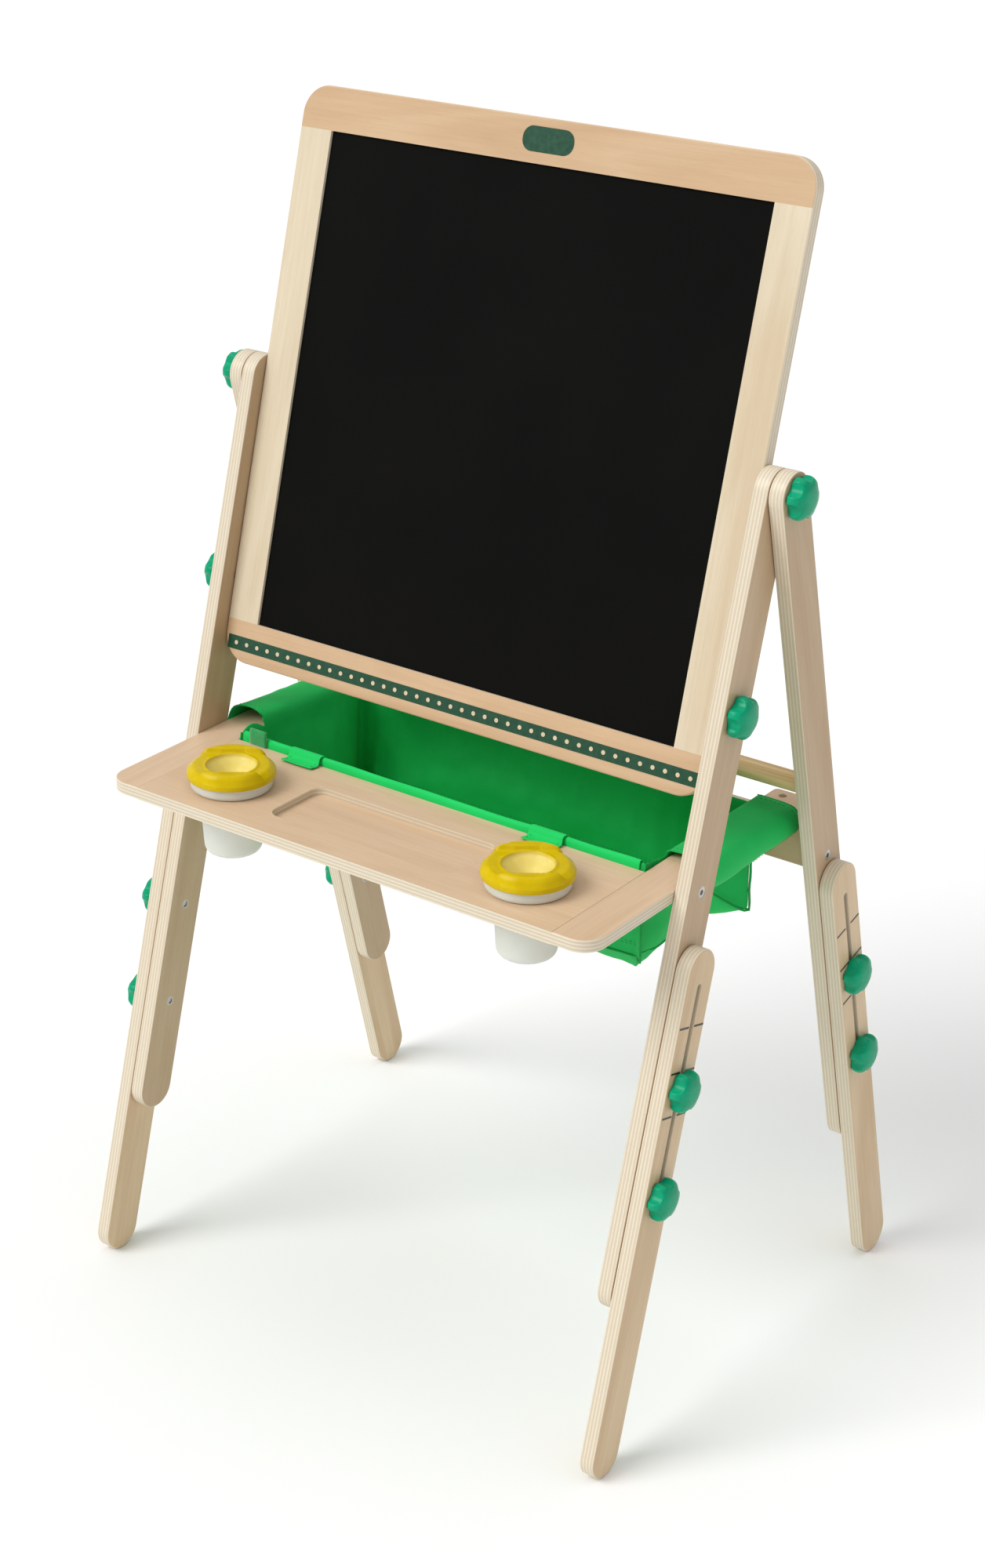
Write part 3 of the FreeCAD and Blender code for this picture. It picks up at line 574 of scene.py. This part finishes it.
# ---------------------------------------------------------------- printed marks
def board_point(x, up, out):
    """A point given along the board's width, up its slope and out of its chalkboard side."""
    return PIVOT + X_AXIS * (x - PIVOT.x) + BOARD_UP * up + BOARD_FACE * out


def plate(name, outline, place, material, thickness=0.00025):
    """A thin printed patch: outline is a list of (a, b), and place(a, b, out) puts it on its surface."""
    count = len(outline)
    vertices = [place(a, b, 0.00004) for a, b in outline] + [place(a, b, thickness) for a, b in outline]
    faces = [tuple(range(count)), tuple(range(count, 2 * count))]
    faces += [(n, (n + 1) % count, count + (n + 1) % count, count + n) for n in range(count)]
    return mesh_piece(name, vertices, faces, material, smooth=False)


def round_rectangle(a_low, a_high, b_low, b_high, radius, steps=10):
    points = []
    for a, b, start in ((a_high - radius, b_high - radius, 0), (a_low + radius, b_high - radius, 90),
                        (a_low + radius, b_low + radius, 180), (a_high - radius, b_low + radius, 270)):
        for step in range(steps + 1):
            angle = math.radians(start + 90 * step / steps)
            points.append((a + radius * math.cos(angle), b + radius * math.sin(angle)))
    return points


def printed(name, colour, colour_b):
    return surface(name, colour, colour_b, 220.0, (0.32, 0.46), 0.10, distance=0.0002)


def make_prints():
    half = (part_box("board_top_rail")[1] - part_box("board_top_rail")[0]).x / 2
    thick = BOARD_HALF
    green = printed("printed_green", (0.0012, 0.050, 0.020), (0.002, 0.066, 0.028))
    cream = printed("printed_cream", (0.62, 0.50, 0.32), (0.70, 0.57, 0.38))
    ink = printed("tick_ink", (0.010, 0.022, 0.010), (0.020, 0.036, 0.016))

    def on_board(x, up, out):
        return board_point(x, up, thick + out)

    badge = round_rectangle(-0.024, 0.031, 0.2450, 0.2672, 0.0105)
    band = round_rectangle(-0.2705, half - 0.0055, -0.2640, -0.2505, 0.0006)
    pieces = [plate("badge", badge, on_board, green), plate("rail_band", band, on_board, green)]
    vertices, faces = [], []
    for index in range(41):
        x = -0.2600 + index * 0.0130
        ring = len(vertices)
        for step in range(16):
            angle = 2 * math.pi * step / 16
            vertices.append(on_board(x + 0.0021 * math.cos(angle), -0.25725 + 0.0021 * math.sin(angle),
                                     0.00042))
        faces.append(tuple(range(ring, ring + 16)))
    pieces.append(mesh_piece("rail_dots", vertices, faces, cream, smooth=False))
    for piece in pieces:
        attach(piece, "board")

    for end, down in (("front", FRONT_DOWN), ("rear", REAR_DOWN)):
        for side, sign in SIDES.items():
            node = end + "_extension_" + side
            low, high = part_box(node)
            outer = high.x if sign > 0 else low.x
            across = down.cross(X_AXIS).normalized()
            points = [v.co for v in NODES[node].data.vertices]
            top = min(p.dot(down) for p in points) + 0.0215
            middle = (max(p.dot(across) for p in points) + min(p.dot(across) for p in points)) / 2
            vertices, faces = [], []
            for drop in (0.0495, 0.0910, 0.1325):
                for start, finish in ((-0.0200, -0.0046), (0.0046, 0.0200)):
                    count = len(vertices)
                    for a, b in ((start, -0.0009), (finish, -0.0009), (finish, 0.0009), (start, 0.0009)):
                        spot = down * (top + drop + b) + across * (middle + a)
                        vertices.append((outer + sign * 0.0002, spot.y, spot.z))
                    faces.append((count, count + 1, count + 2, count + 3))
            ticks = mesh_piece(node + "_ticks", vertices, faces, ink, smooth=False)
            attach(ticks, node)


# ---------------------------------------------------------------- the sewn fabric bin
def fabric(name, tone=1.0):
    """Green woven polyester: fine plain weave, soft sheen, slightly uneven dye."""
    material, shader, add = new_material(name)
    position = add("ShaderNodeTexCoord").outputs["Object"]
    cloud = add("ShaderNodeTexNoise", {"Vector": position, "Scale": 14.0, "Detail": 4.0}).outputs["Fac"]
    threads = 2 * math.pi / 0.0011
    apart = add("ShaderNodeSeparateXYZ", {"Vector": position})

    def rows(first, second):
        total = maths(add, "ADD", apart.outputs[first], apart.outputs[second])
        return maths(add, "SINE", maths(add, "MULTIPLY", total, threads))

    weave = maths(add, "MULTIPLY", rows("X", "Y"), rows("Z", "Y"))
    slub = add("ShaderNodeTexNoise", {"Vector": add("ShaderNodeMapping", {"Vector": position,
               "Scale": (40.0, 300.0, 900.0)}).outputs[0], "Scale": 1.0, "Detail": 2.0}).outputs["Fac"]
    colour = ramp(add, cloud, [(0.30, (0.006, 0.49 * tone, 0.095 * tone)),
                               (0.70, (0.012, 0.56 * tone, 0.120 * tone))])
    slub_green = (0.002, 0.36 * tone, 0.066 * tone)
    gap_green = (0.002, 0.32 * tone, 0.058 * tone)
    colour = mixed(add, ramp(add, slub, [(0.35, 0.14), (0.60, 0.0)]), colour, slub_green)
    colour = mixed(add, ramp(add, weave, [(0.0, 0.16), (0.6, 0.0)]), colour, gap_green)
    link(material, colour, shader.inputs["Base Color"])
    link(material, ramp(add, slub, [(0.3, 0.62), (0.7, 0.74)]), shader.inputs["Roughness"])
    height = maths(add, "ADD", maths(add, "MULTIPLY", weave, 0.5), slub)
    bump = add("ShaderNodeBump", {"Height": height, "Strength": 0.16, "Distance": 0.0003})
    link(material, bump.outputs[0], shader.inputs["Normal"])
    shader.inputs["Specular IOR Level"].default_value = 0.20
    shader.inputs["Sheen Weight"].default_value = 0.10
    shader.inputs["Sheen Roughness"].default_value = 0.45
    shader.inputs["Sheen Tint"].default_value = (0.45, 0.95, 0.50, 1)
    return material


class Cloth:
    """A sheet mesh built from grids that share their edges, with the points that stay sewn in place."""

    def __init__(self):
        self.points, self.lookup, self.faces, self.fixed = [], {}, [], {}

    def point(self, place, hold=0.0):
        key = tuple(round(value * 5000) for value in place)
        if key not in self.lookup:
            self.lookup[key] = len(self.points)
            self.points.append(Vector(place))
        index = self.lookup[key]
        self.fixed[index] = max(self.fixed.get(index, 0.0), hold)
        return index

    def grid(self, across, along, place):
        """place(i, j) gives (point, hold); returns the table of point numbers."""
        table = [[self.point(*place(i, j)) for j in range(along + 1)] for i in range(across + 1)]
        for i in range(across):
            for j in range(along):
                corners = (table[i][j], table[i + 1][j], table[i + 1][j + 1], table[i][j + 1])
                if len(set(corners)) == 4:
                    self.faces.append(corners)
        return table


def ease(value, low, high):
    t = min(max((value - low) / (high - low), 0.0), 1.0)
    return t * t * (3 - 2 * t)


def bag_places():
    arm_low, arm_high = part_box("tray_arm_right")
    bin_low, bin_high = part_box("fabric_bin")
    return {"inner": arm_low.x, "outer": arm_high.x, "wall": arm_low.x - 0.0019, "front": PANEL_REAR + 0.0017,
            "rear": bin_high.y - 0.0008, "bottom": bin_low.z + 0.004, "sleeve": PANEL_REAR + 0.0366}


def bottom_height(at, x, y):
    """How high the bag's bottom seam is: it is drawn up at the sides and drops at the rear corners."""
    side = ease(abs(x), 0.10, at["wall"])
    right = ease(x, -0.05, at["wall"])
    lift = 0.020 * math.exp(-((y - 0.022) / 0.034) ** 2) * side * (0.35 + 0.65 * right)
    drop = 0.015 * ease(y, 0.045, at["rear"]) * side * (0.45 + 0.55 * right)
    sag = 0.008 * (1 - side) + 0.005 * (1 - right) * side
    return at["bottom"] + lift - drop - sag


def build_bag():
    at = bag_places()
    cloth = Cloth()
    across, along, up, loop = 80, 32, 17, 30
    wall, front, rear = at["wall"], at["front"], at["rear"]
    depth = rear - front
    first = round((at["sleeve"] - front) / depth * along)
    hem_z = TRAY_TOP + 0.0062

    def x_of(i):
        return -wall + 2 * wall * i / across

    def y_of(j):
        return front + depth * j / along

    def rear_top(x):
        return TRAY_TOP - 0.0045 - 0.0042 * (1 - (x / wall) ** 2) + 0.0010 * math.sin(x * 41.0)

    def gusset_top(x, j):
        if j >= first:
            return TRAY_TOP + 0.0012
        share = j / first
        return hem_z + (TRAY_TOP + 0.0012 - hem_z) * share + 0.0075 * math.sin(math.pi * share) * (x < 0)

    def wall_point(x, y, high, k):
        low = bottom_height(at, x, y)
        return x, y, low + (high - low) * k / up

    def front_at(i, k):
        x, y, z = wall_point(x_of(i), front, hem_z, k)
        lean = 0.0022 * ease(z, TRAY_TOP - 0.004, hem_z)
        return (x, y + lean, z), (1.0 if k >= up - 2 else 0.0)

    def rear_at(i, k):
        x = x_of(i)
        return wall_point(x, rear, rear_top(x), k), (1.0 if k == up else 0.0)

    def bottom_at(i, j):
        x, y = x_of(i), y_of(j)
        return (x, y, bottom_height(at, x, y)), 0.0

    def side_at(sign):
        def place(j, k):
            x, y = sign * wall, y_of(j)
            low = bottom_height(at, x, y)
            high = gusset_top(x, j)
            if j == 0:
                return front_at(0 if sign < 0 else across, k)
            if j == along:
                return rear_at(0 if sign < 0 else across, k)
            share = k / up
            z = low + (high - low) * share
            hold = 1.0 if z > TRAY_UNDER - 0.002 and j >= first or k == up else 0.0
            return (x, y, z), hold
        return place

    tables = {"front": cloth.grid(across, up, front_at), "rear": cloth.grid(across, up, rear_at),
              "bottom": cloth.grid(across, along, bottom_at), "left": cloth.grid(along, up, side_at(-1)),
              "right": cloth.grid(along, up, side_at(1))}

    def sleeve_at(sign):
        puff_front, puff_rear = (0.0150, 0.0035) if sign < 0 else (0.0060, 0.0025)

        def place(j, n):
            step = j + first
            y = y_of(step)
            share = j / (along - first)
            lift = puff_rear + (puff_front - puff_rear) * (1 - share) ** 1.6
            wave = noise.noise(Vector((sign * 3.0, y * 22.0, 0.4))) * 0.0030
            out = 0.0010 + 0.0045 * (0.4 + 0.6 * share if sign > 0 else 1 - 0.55 * share) + wave
            arm_in, arm_out, top = at["inner"], at["outer"], TRAY_TOP
            path = [(wall, top + 0.0012), (arm_in + 0.0005, top + 0.0034 + lift * 0.55),
                    (arm_in + 0.0080, top + 0.0022 + lift * 0.92), (arm_in + 0.0200, top + 0.0018 + lift),
                    (arm_out - 0.0090, top + 0.0018 + lift * 0.90),
                    (arm_out - 0.0005, top + 0.0010 + lift * 0.55),
                    (arm_out + 0.0026 + out * 0.6, top - 0.0050),
                    (arm_out + 0.0022 + out, TRAY_UNDER - 0.0005),
                    (arm_out + 0.0014 + out * 0.8, TRAY_UNDER - 0.0075 - wave),
                    (arm_out + 0.0002, TRAY_UNDER - 0.0130 - wave),
                    (arm_out - 0.0014, TRAY_UNDER - 0.0128 - wave), (arm_out - 0.0040, TRAY_UNDER - 0.0080),
                    (arm_out - 0.0100, TRAY_UNDER - 0.0038), (arm_in + 0.0120, TRAY_UNDER - 0.0026),
                    (wall + 0.0006, TRAY_UNDER - 0.0030)]
            spot = along_path(path, n / loop)
            ripple = Vector((spot[0] * 30, y * 34.0 + spot[1] * 26, sign * 2.0))
            rough = noise.noise(ripple) * 0.0016 * ease(n, 0, 4) * (1 - ease(n, loop - 9, loop - 6))
            if 0 < n:
                spot = (spot[0], spot[1] + abs(rough))
            return (sign * spot[0], y, spot[1]), 1.0
        return place

    for name, sign in (("left", -1), ("right", 1)):
        tables["sleeve_" + name] = cloth.grid(along - first, loop, sleeve_at(sign))
    return cloth, tables, at


def along_path(points, share):
    """The point at that share of a smooth path's length."""
    fine = []
    for index in range(len(points) - 1):
        before = Vector(points[max(index - 1, 0)])
        start, end = Vector(points[index]), Vector(points[index + 1])
        after = Vector(points[min(index + 2, len(points) - 1)])
        for step in range(8):
            t = step / 8
            fine.append(0.5 * (2 * start + (end - before) * t + (2 * before - 5 * start + 4 * end - after) * t * t
                               + (3 * start - before - 3 * end + after) * t ** 3))
    fine.append(Vector(points[-1]))
    lengths = [0.0]
    for start, end in zip(fine, fine[1:]):
        lengths.append(lengths[-1] + (end - start).length)
    wanted = share * lengths[-1]
    for index in range(1, len(fine)):
        if lengths[index] >= wanted - 1e-12:
            span = lengths[index] - lengths[index - 1]
            t = (wanted - lengths[index - 1]) / span if span > 1e-12 else 0.0
            return tuple(fine[index - 1].lerp(fine[index], t))
    return tuple(fine[-1])


def block(name, low, high):
    """A plain box that the cloth can't pass through; it is removed after the simulation."""
    build = bmesh.new()
    bmesh.ops.create_cube(build, size=1.0)
    for vertex in build.verts:
        vertex.co = Vector(((low[n] + high[n]) / 2 + vertex.co[n] * (high[n] - low[n]) for n in range(3)))
    bmesh.ops.subdivide_edges(build, edges=build.edges, cuts=3, use_grid_fill=True)
    mesh = bpy.data.meshes.new(name)
    build.to_mesh(mesh)
    build.free()
    obstacle = bpy.data.objects.new(name, mesh)
    bpy.context.scene.collection.objects.link(obstacle)
    obstacle.modifiers.new("collision", "COLLISION")
    obstacle.collision.thickness_outer = 0.001
    obstacle.collision.cloth_friction = 12.0
    return obstacle


def settle(piece, cloth):
    """Lets the bag hang from its hem and sleeves under its own weight, then keeps the shape it took."""
    group = piece.vertex_groups.new(name="sewn")
    for index, hold in cloth.fixed.items():
        if hold:
            group.add([index], hold, "REPLACE")
    obstacles = []
    for node in ("tray_arm_left", "tray_arm_right", "rear_cross_plank", "tray_panel"):
        low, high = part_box(node)
        obstacles.append(block("obstacle_" + node, low, high))
    modifier = piece.modifiers.new("hang", "CLOTH")
    modifier.settings.quality = 7
    modifier.settings.mass = 0.15
    modifier.settings.tension_stiffness = 12
    modifier.settings.compression_stiffness = 9
    modifier.settings.shear_stiffness = 4
    modifier.settings.bending_stiffness = 0.35
    modifier.settings.air_damping = 4
    modifier.settings.vertex_group_mass = "sewn"
    modifier.settings.shrink_min = -0.022
    modifier.collision_settings.distance_min = 0.001
    modifier.collision_settings.use_self_collision = False
    scene = bpy.context.scene
    frames = 28
    scene.frame_start, scene.frame_end = 1, frames
    modifier.point_cache.frame_start, modifier.point_cache.frame_end = 1, frames
    for step in range(1, frames + 1):
        scene.frame_set(step)
    settled = piece.evaluated_get(bpy.context.evaluated_depsgraph_get())
    places = [vertex.co.copy() for vertex in settled.data.vertices]
    piece.modifiers.remove(modifier)
    limit = 0.016
    for vertex, place in zip(piece.data.vertices, places):
        move = place - vertex.co
        if move.length > limit:
            move *= limit / move.length
        vertex.co += move
    for obstacle in obstacles:
        bpy.data.objects.remove(obstacle)
    scene.frame_set(1)


def thread_line(points, normals, dash=0.0032, gap=0.0016, radius=0.00026, lift=0.0008):
    """Stitches along a line of surface points, as short rounded dashes of thread."""
    vertices, faces = [], []
    lengths = [0.0]
    for start, end in zip(points, points[1:]):
        lengths.append(lengths[-1] + (end - start).length)

    def at(length):
        for index in range(1, len(points)):
            if lengths[index] >= length:
                t = (length - lengths[index - 1]) / max(lengths[index] - lengths[index - 1], 1e-9)
                normal = normals[index - 1].lerp(normals[index], t).normalized()
                return points[index - 1].lerp(points[index], t), normal
        return points[-1], normals[-1]

    place = 0.001
    while place + dash < lengths[-1]:
        start, normal = at(place)
        end, _ = at(place + dash)
        direction = (end - start).normalized()
        side = direction.cross(normal).normalized()
        base = len(vertices)
        for step, size in ((0.0, 0.35), (0.15, 1.0), (0.5, 1.15), (0.85, 1.0), (1.0, 0.35)):
            middle = start.lerp(end, step) + normal * (lift * (0.55 + 0.45 * math.sin(math.pi * step)))
            for corner in range(6):
                angle = math.pi * corner / 3
                around = side * math.cos(angle) + normal * math.sin(angle) * 0.7
                vertices.append(middle + around * radius * size)
        for ring in range(4):
            for corner in range(6):
                after = (corner + 1) % 6
                faces.append((base + ring * 6 + corner, base + ring * 6 + after,
                              base + ring * 6 + 6 + after, base + ring * 6 + 6 + corner))
        place += dash + gap
    return vertices, faces


def cord_line(points, normals, radius, lift=0.0003):
    """A raised seam: a thin round roll of cloth along a line of surface points."""
    vertices, faces = [], []
    for index, point in enumerate(points):
        ahead = points[min(index + 1, len(points) - 1)] - points[max(index - 1, 0)]
        direction = ahead.normalized()
        side = direction.cross(normals[index]).normalized()
        for corner in range(8):
            angle = math.pi * corner / 4
            vertices.append(point + normals[index] * lift
                            + (side * math.cos(angle) + normals[index] * math.sin(angle)) * radius)
    for ring in range(len(points) - 1):
        for corner in range(8):
            after = (corner + 1) % 8
            faces.append((ring * 8 + corner, ring * 8 + after, ring * 8 + 8 + after, ring * 8 + 8 + corner))
    return vertices, faces


def join(parts):
    vertices, faces = [], []
    for some, shapes in parts:
        base = len(vertices)
        vertices += some
        faces += [tuple(index + base for index in shape) for shape in shapes]
    return vertices, faces


def soft(piece, at):
    """The piece rides on the front frame, with a mesh of its own."""
    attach(piece, "front_frame")
    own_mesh(piece)


def make_bin():
    cloth, tables, at = build_bag()
    bag = mesh_piece("fabric_bin_bag", cloth.points, cloth.faces, fabric("bin_fabric"))
    settle(bag, cloth)
    mesh = bag.data
    for vertex in mesh.vertices:
        place = vertex.co
        free = 1.0 - cloth.fixed.get(vertex.index, 0.0)
        fold = noise.noise(Vector((place.x * 9 + place.z * 14, place.y * 15 - place.z * 10, 0.3)))
        small = noise.noise(place * 62.0)
        vertex.co += vertex.normal * ((fold * 0.0032 + small * 0.0008) * free + small * 0.0004)
    mesh.update()
    places = [vertex.co.copy() for vertex in mesh.vertices]
    normals = [vertex.normal.copy() for vertex in mesh.vertices]
    thick = bag.modifiers.new("thickness", "SOLIDIFY")
    thick.thickness, thick.offset = 0.0011, 0.0
    rounder = bag.modifiers.new("smooth", "SUBSURF")
    rounder.levels = rounder.render_levels = 1
    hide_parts("fabric_bin", "bin_tabs")
    soft(bag, at)

    def faced(numbers, outward):
        """Normals along a line, turned to the side that outward points to."""
        return [normals[n] if normals[n].dot(Vector(outward)) > 0 else -normals[n] for n in numbers]

    top = len(tables["front"][0]) - 1
    stitches, seams = [], []
    rear = tables["rear"]
    numbers = [column[top - 2] for column in rear]
    for outward in ((0, -1, 0), (0, 1, 0)):
        stitches.append(thread_line([places[n] for n in numbers], faced(numbers, outward)))
    for table, outward in ((tables["front"], (0, -1, 0)), (tables["front"], (0, 1, 0)), (rear, (0, 1, 0)),
                           (rear, (0, -1, 0))):
        for row in (2, 3):
            numbers = [column[row] for column in table]
            points = [places[n] + (places[column[row - 1]] - places[n]) * (0.55 if row == 3 else 0.0)
                      for n, column in zip(numbers, table)]
            stitches.append(thread_line(points, faced(numbers, outward)))
    for name, sign in (("left", -1), ("right", 1)):
        side = tables[name]
        for column in (0, len(side) - 1):
            numbers = side[column]
            seams.append(cord_line([places[n] for n in numbers], faced(numbers, (sign, 0, 0)), 0.0012))
        numbers = [column[0] for column in side]
        seams.append(cord_line([places[n] for n in numbers], faced(numbers, (0, 0, -1)), 0.0011))
        sleeve = tables["sleeve_" + name]
        loop = len(sleeve[0]) - 1
        for n_row in (round(loop * 0.62), round(loop * 0.585)):
            numbers = [column[n_row] for column in sleeve]
            stitches.append(thread_line([places[n] for n in numbers], faced(numbers, (sign, 0, 0.0))))
        for column in (1, len(sleeve) - 2):
            numbers = sleeve[column][1:round(loop * 0.66)]
            stitches.append(thread_line([places[n] for n in numbers], faced(numbers, (sign * 0.5, 0, 1))))
        for column in (0, len(sleeve) - 1):
            numbers = sleeve[column][1:]
            outward = faced(numbers, (sign * 0.5, 0, 1))
            seams.append(cord_line([places[n] for n in numbers], outward, 0.00085, 0.0))
    for table in (tables["front"], rear):
        numbers = [column[0] for column in table]
        seams.append(cord_line([places[n] for n in numbers], faced(numbers, (0, 0, -1)), 0.0011))
    thread = printed("bin_thread", (0.004, 0.19, 0.055), (0.012, 0.27, 0.085))
    piece = mesh_piece("fabric_bin_stitches", *join(stitches), thread)
    soft(piece, at)
    # The seam rolls take the bin fabric at 0.80 tone, darker than the walls: painted shade for the dark lines
    # where the cloth curves away at its seams.
    piece = mesh_piece("fabric_bin_seams", *join(seams), fabric("bin_seam_shaded_fabric", 0.80))
    soft(piece, at)
    make_hem(at)


def make_hem(at):
    """The folded hem along the tray's rear edge, its two tabs and the fastener at its left end."""
    wall, front = at["wall"], at["front"]
    light = fabric("bin_hem_fabric", 1.22)
    profile = [(-0.0014, -0.0050), (-0.0016, 0.0010), (-0.0012, 0.0048), (0.0000, 0.0068), (0.0018, 0.0074),
               (0.0034, 0.0060), (0.0040, 0.0020), (0.0036, -0.0050)]
    vertices, faces = [], []
    count = 96
    for step in range(count + 1):
        x = -wall + 0.004 + (2 * wall - 0.008) * step / count
        wave = 0.0009 * noise.noise(Vector((x * 16, 0.2, 0.7)))
        rise = 0.0022 * ease(-x, wall - 0.05, wall) + 0.0010 * ease(x, wall - 0.05, wall)
        for a, b in profile:
            vertices.append(Vector((x, front + a + wave * 0.5 + 0.0007, TRAY_TOP + b + wave + rise)))
    size_of = len(profile)
    for step in range(count):
        for corner in range(size_of - 1):
            low = step * size_of + corner
            faces.append((low, low + 1, low + size_of + 1, low + size_of))
    hem = mesh_piece("fabric_bin_hem", vertices, faces, light)
    solid = hem.modifiers.new("thickness", "SOLIDIFY")
    solid.thickness, solid.offset = 0.0009, 0.0
    hem.modifiers.new("smooth", "SUBSURF").render_levels = 1
    soft(hem, at)

    tab_low, tab_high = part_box("bin_tabs")
    reach = tab_high.y - tab_low.y
    tab_width = 0.038
    for name, x_low, x_high in (("left", tab_low.x, tab_low.x + tab_width),
                                ("right", tab_high.x - tab_width, tab_high.x)):
        vertices, faces = [], []
        path = [(0.0050, 0.0062), (0.0026, 0.0086), (-0.0004, 0.0090), (-0.0026, 0.0074), (-0.0042, 0.0046),
                (-0.0062, 0.0026), (-0.0095, 0.0018), (-reach * 0.85, 0.0017), (-reach - 0.0017, 0.0020)]
        steps, wide = 24, 10
        for step in range(steps + 1):
            a, b = along_path(path, step / steps)
            for column in range(wide + 1):
                x = x_low + (x_high - x_low) * column / wide
                curl = 0.0006 * ease(step, steps * 0.7, steps) * abs(2 * column / wide - 1)
                vertices.append(Vector((x + 0.0006 * math.sin(step * 0.5), front + a, TRAY_TOP + b + curl)))
        for step in range(steps):
            for column in range(wide):
                low = step * (wide + 1) + column
                faces.append((low, low + 1, low + wide + 2, low + wide + 1))
        tab = mesh_piece("bin_tab_" + name, vertices, faces, light)
        solid = tab.modifiers.new("thickness", "SOLIDIFY")
        solid.thickness, solid.offset = 0.0012, 0.0
        tab.modifiers.new("smooth", "SUBSURF").render_levels = 1
        soft(tab, at)
        lines = []
        for column in (1, wide - 1):
            numbers = [step * (wide + 1) + column for step in range(4, steps + 1)]
            lines.append(thread_line([Vector(vertices[n]) for n in numbers], [Z_AXIS] * len(numbers)))
        numbers = [(steps - 2) * (wide + 1) + column for column in range(1, wide)]
        lines.append(thread_line([Vector(vertices[n]) for n in numbers], [Z_AXIS] * len(numbers)))
        edge = mesh_piece("bin_tab_" + name + "_stitches", *join(lines),
                          printed("tab_thread_" + name, (0.03, 0.36, 0.10), (0.05, 0.44, 0.14)))
        soft(edge, at)

    vertices, faces = [], []
    steps, wide = 10, 8
    for step in range(steps + 1):
        share = step / steps
        for column in range(wide + 1):
            x = -0.2190 + 0.0200 * column / wide
            bulge = 0.0012 * math.sin(math.pi * share) + 0.0006 * noise.noise(Vector((x * 90, share * 3, 0)))
            vertices.append(Vector((x, front - 0.0018 - bulge, TRAY_TOP - 0.0004 + 0.0170 * share)))
    for step in range(steps):
        for column in range(wide):
            low = step * (wide + 1) + column
            faces.append((low, low + 1, low + wide + 2, low + wide + 1))
    strip = mesh_piece("bin_fastener", vertices, faces, fastener_material())
    solid = strip.modifiers.new("thickness", "SOLIDIFY")
    solid.thickness, solid.offset = 0.0016, 0.0
    soft(strip, at)


def fastener_material():
    """The looped half of a touch fastener: dense short pile."""
    material, shader, add = new_material("touch_fastener")
    position = add("ShaderNodeTexCoord").outputs["Object"]
    pile = add("ShaderNodeTexNoise", {"Vector": position, "Scale": 1500.0, "Detail": 4.0}).outputs["Fac"]
    colour = ramp(add, pile, [(0.3, (0.0, 0.20, 0.045)), (0.7, (0.004, 0.44, 0.10))])
    link(material, colour, shader.inputs["Base Color"])
    shader.inputs["Roughness"].default_value = 0.85
    bump = add("ShaderNodeBump", {"Height": pile, "Strength": 0.6, "Distance": 0.0006})
    link(material, bump.outputs[0], shader.inputs["Normal"])
    shader.inputs["Sheen Weight"].default_value = 0.5
    return material


make_camera()
make_studio()
dress_wood()
dress_board_and_metal()
make_knobs()
make_cups()
make_prints()
make_bin()
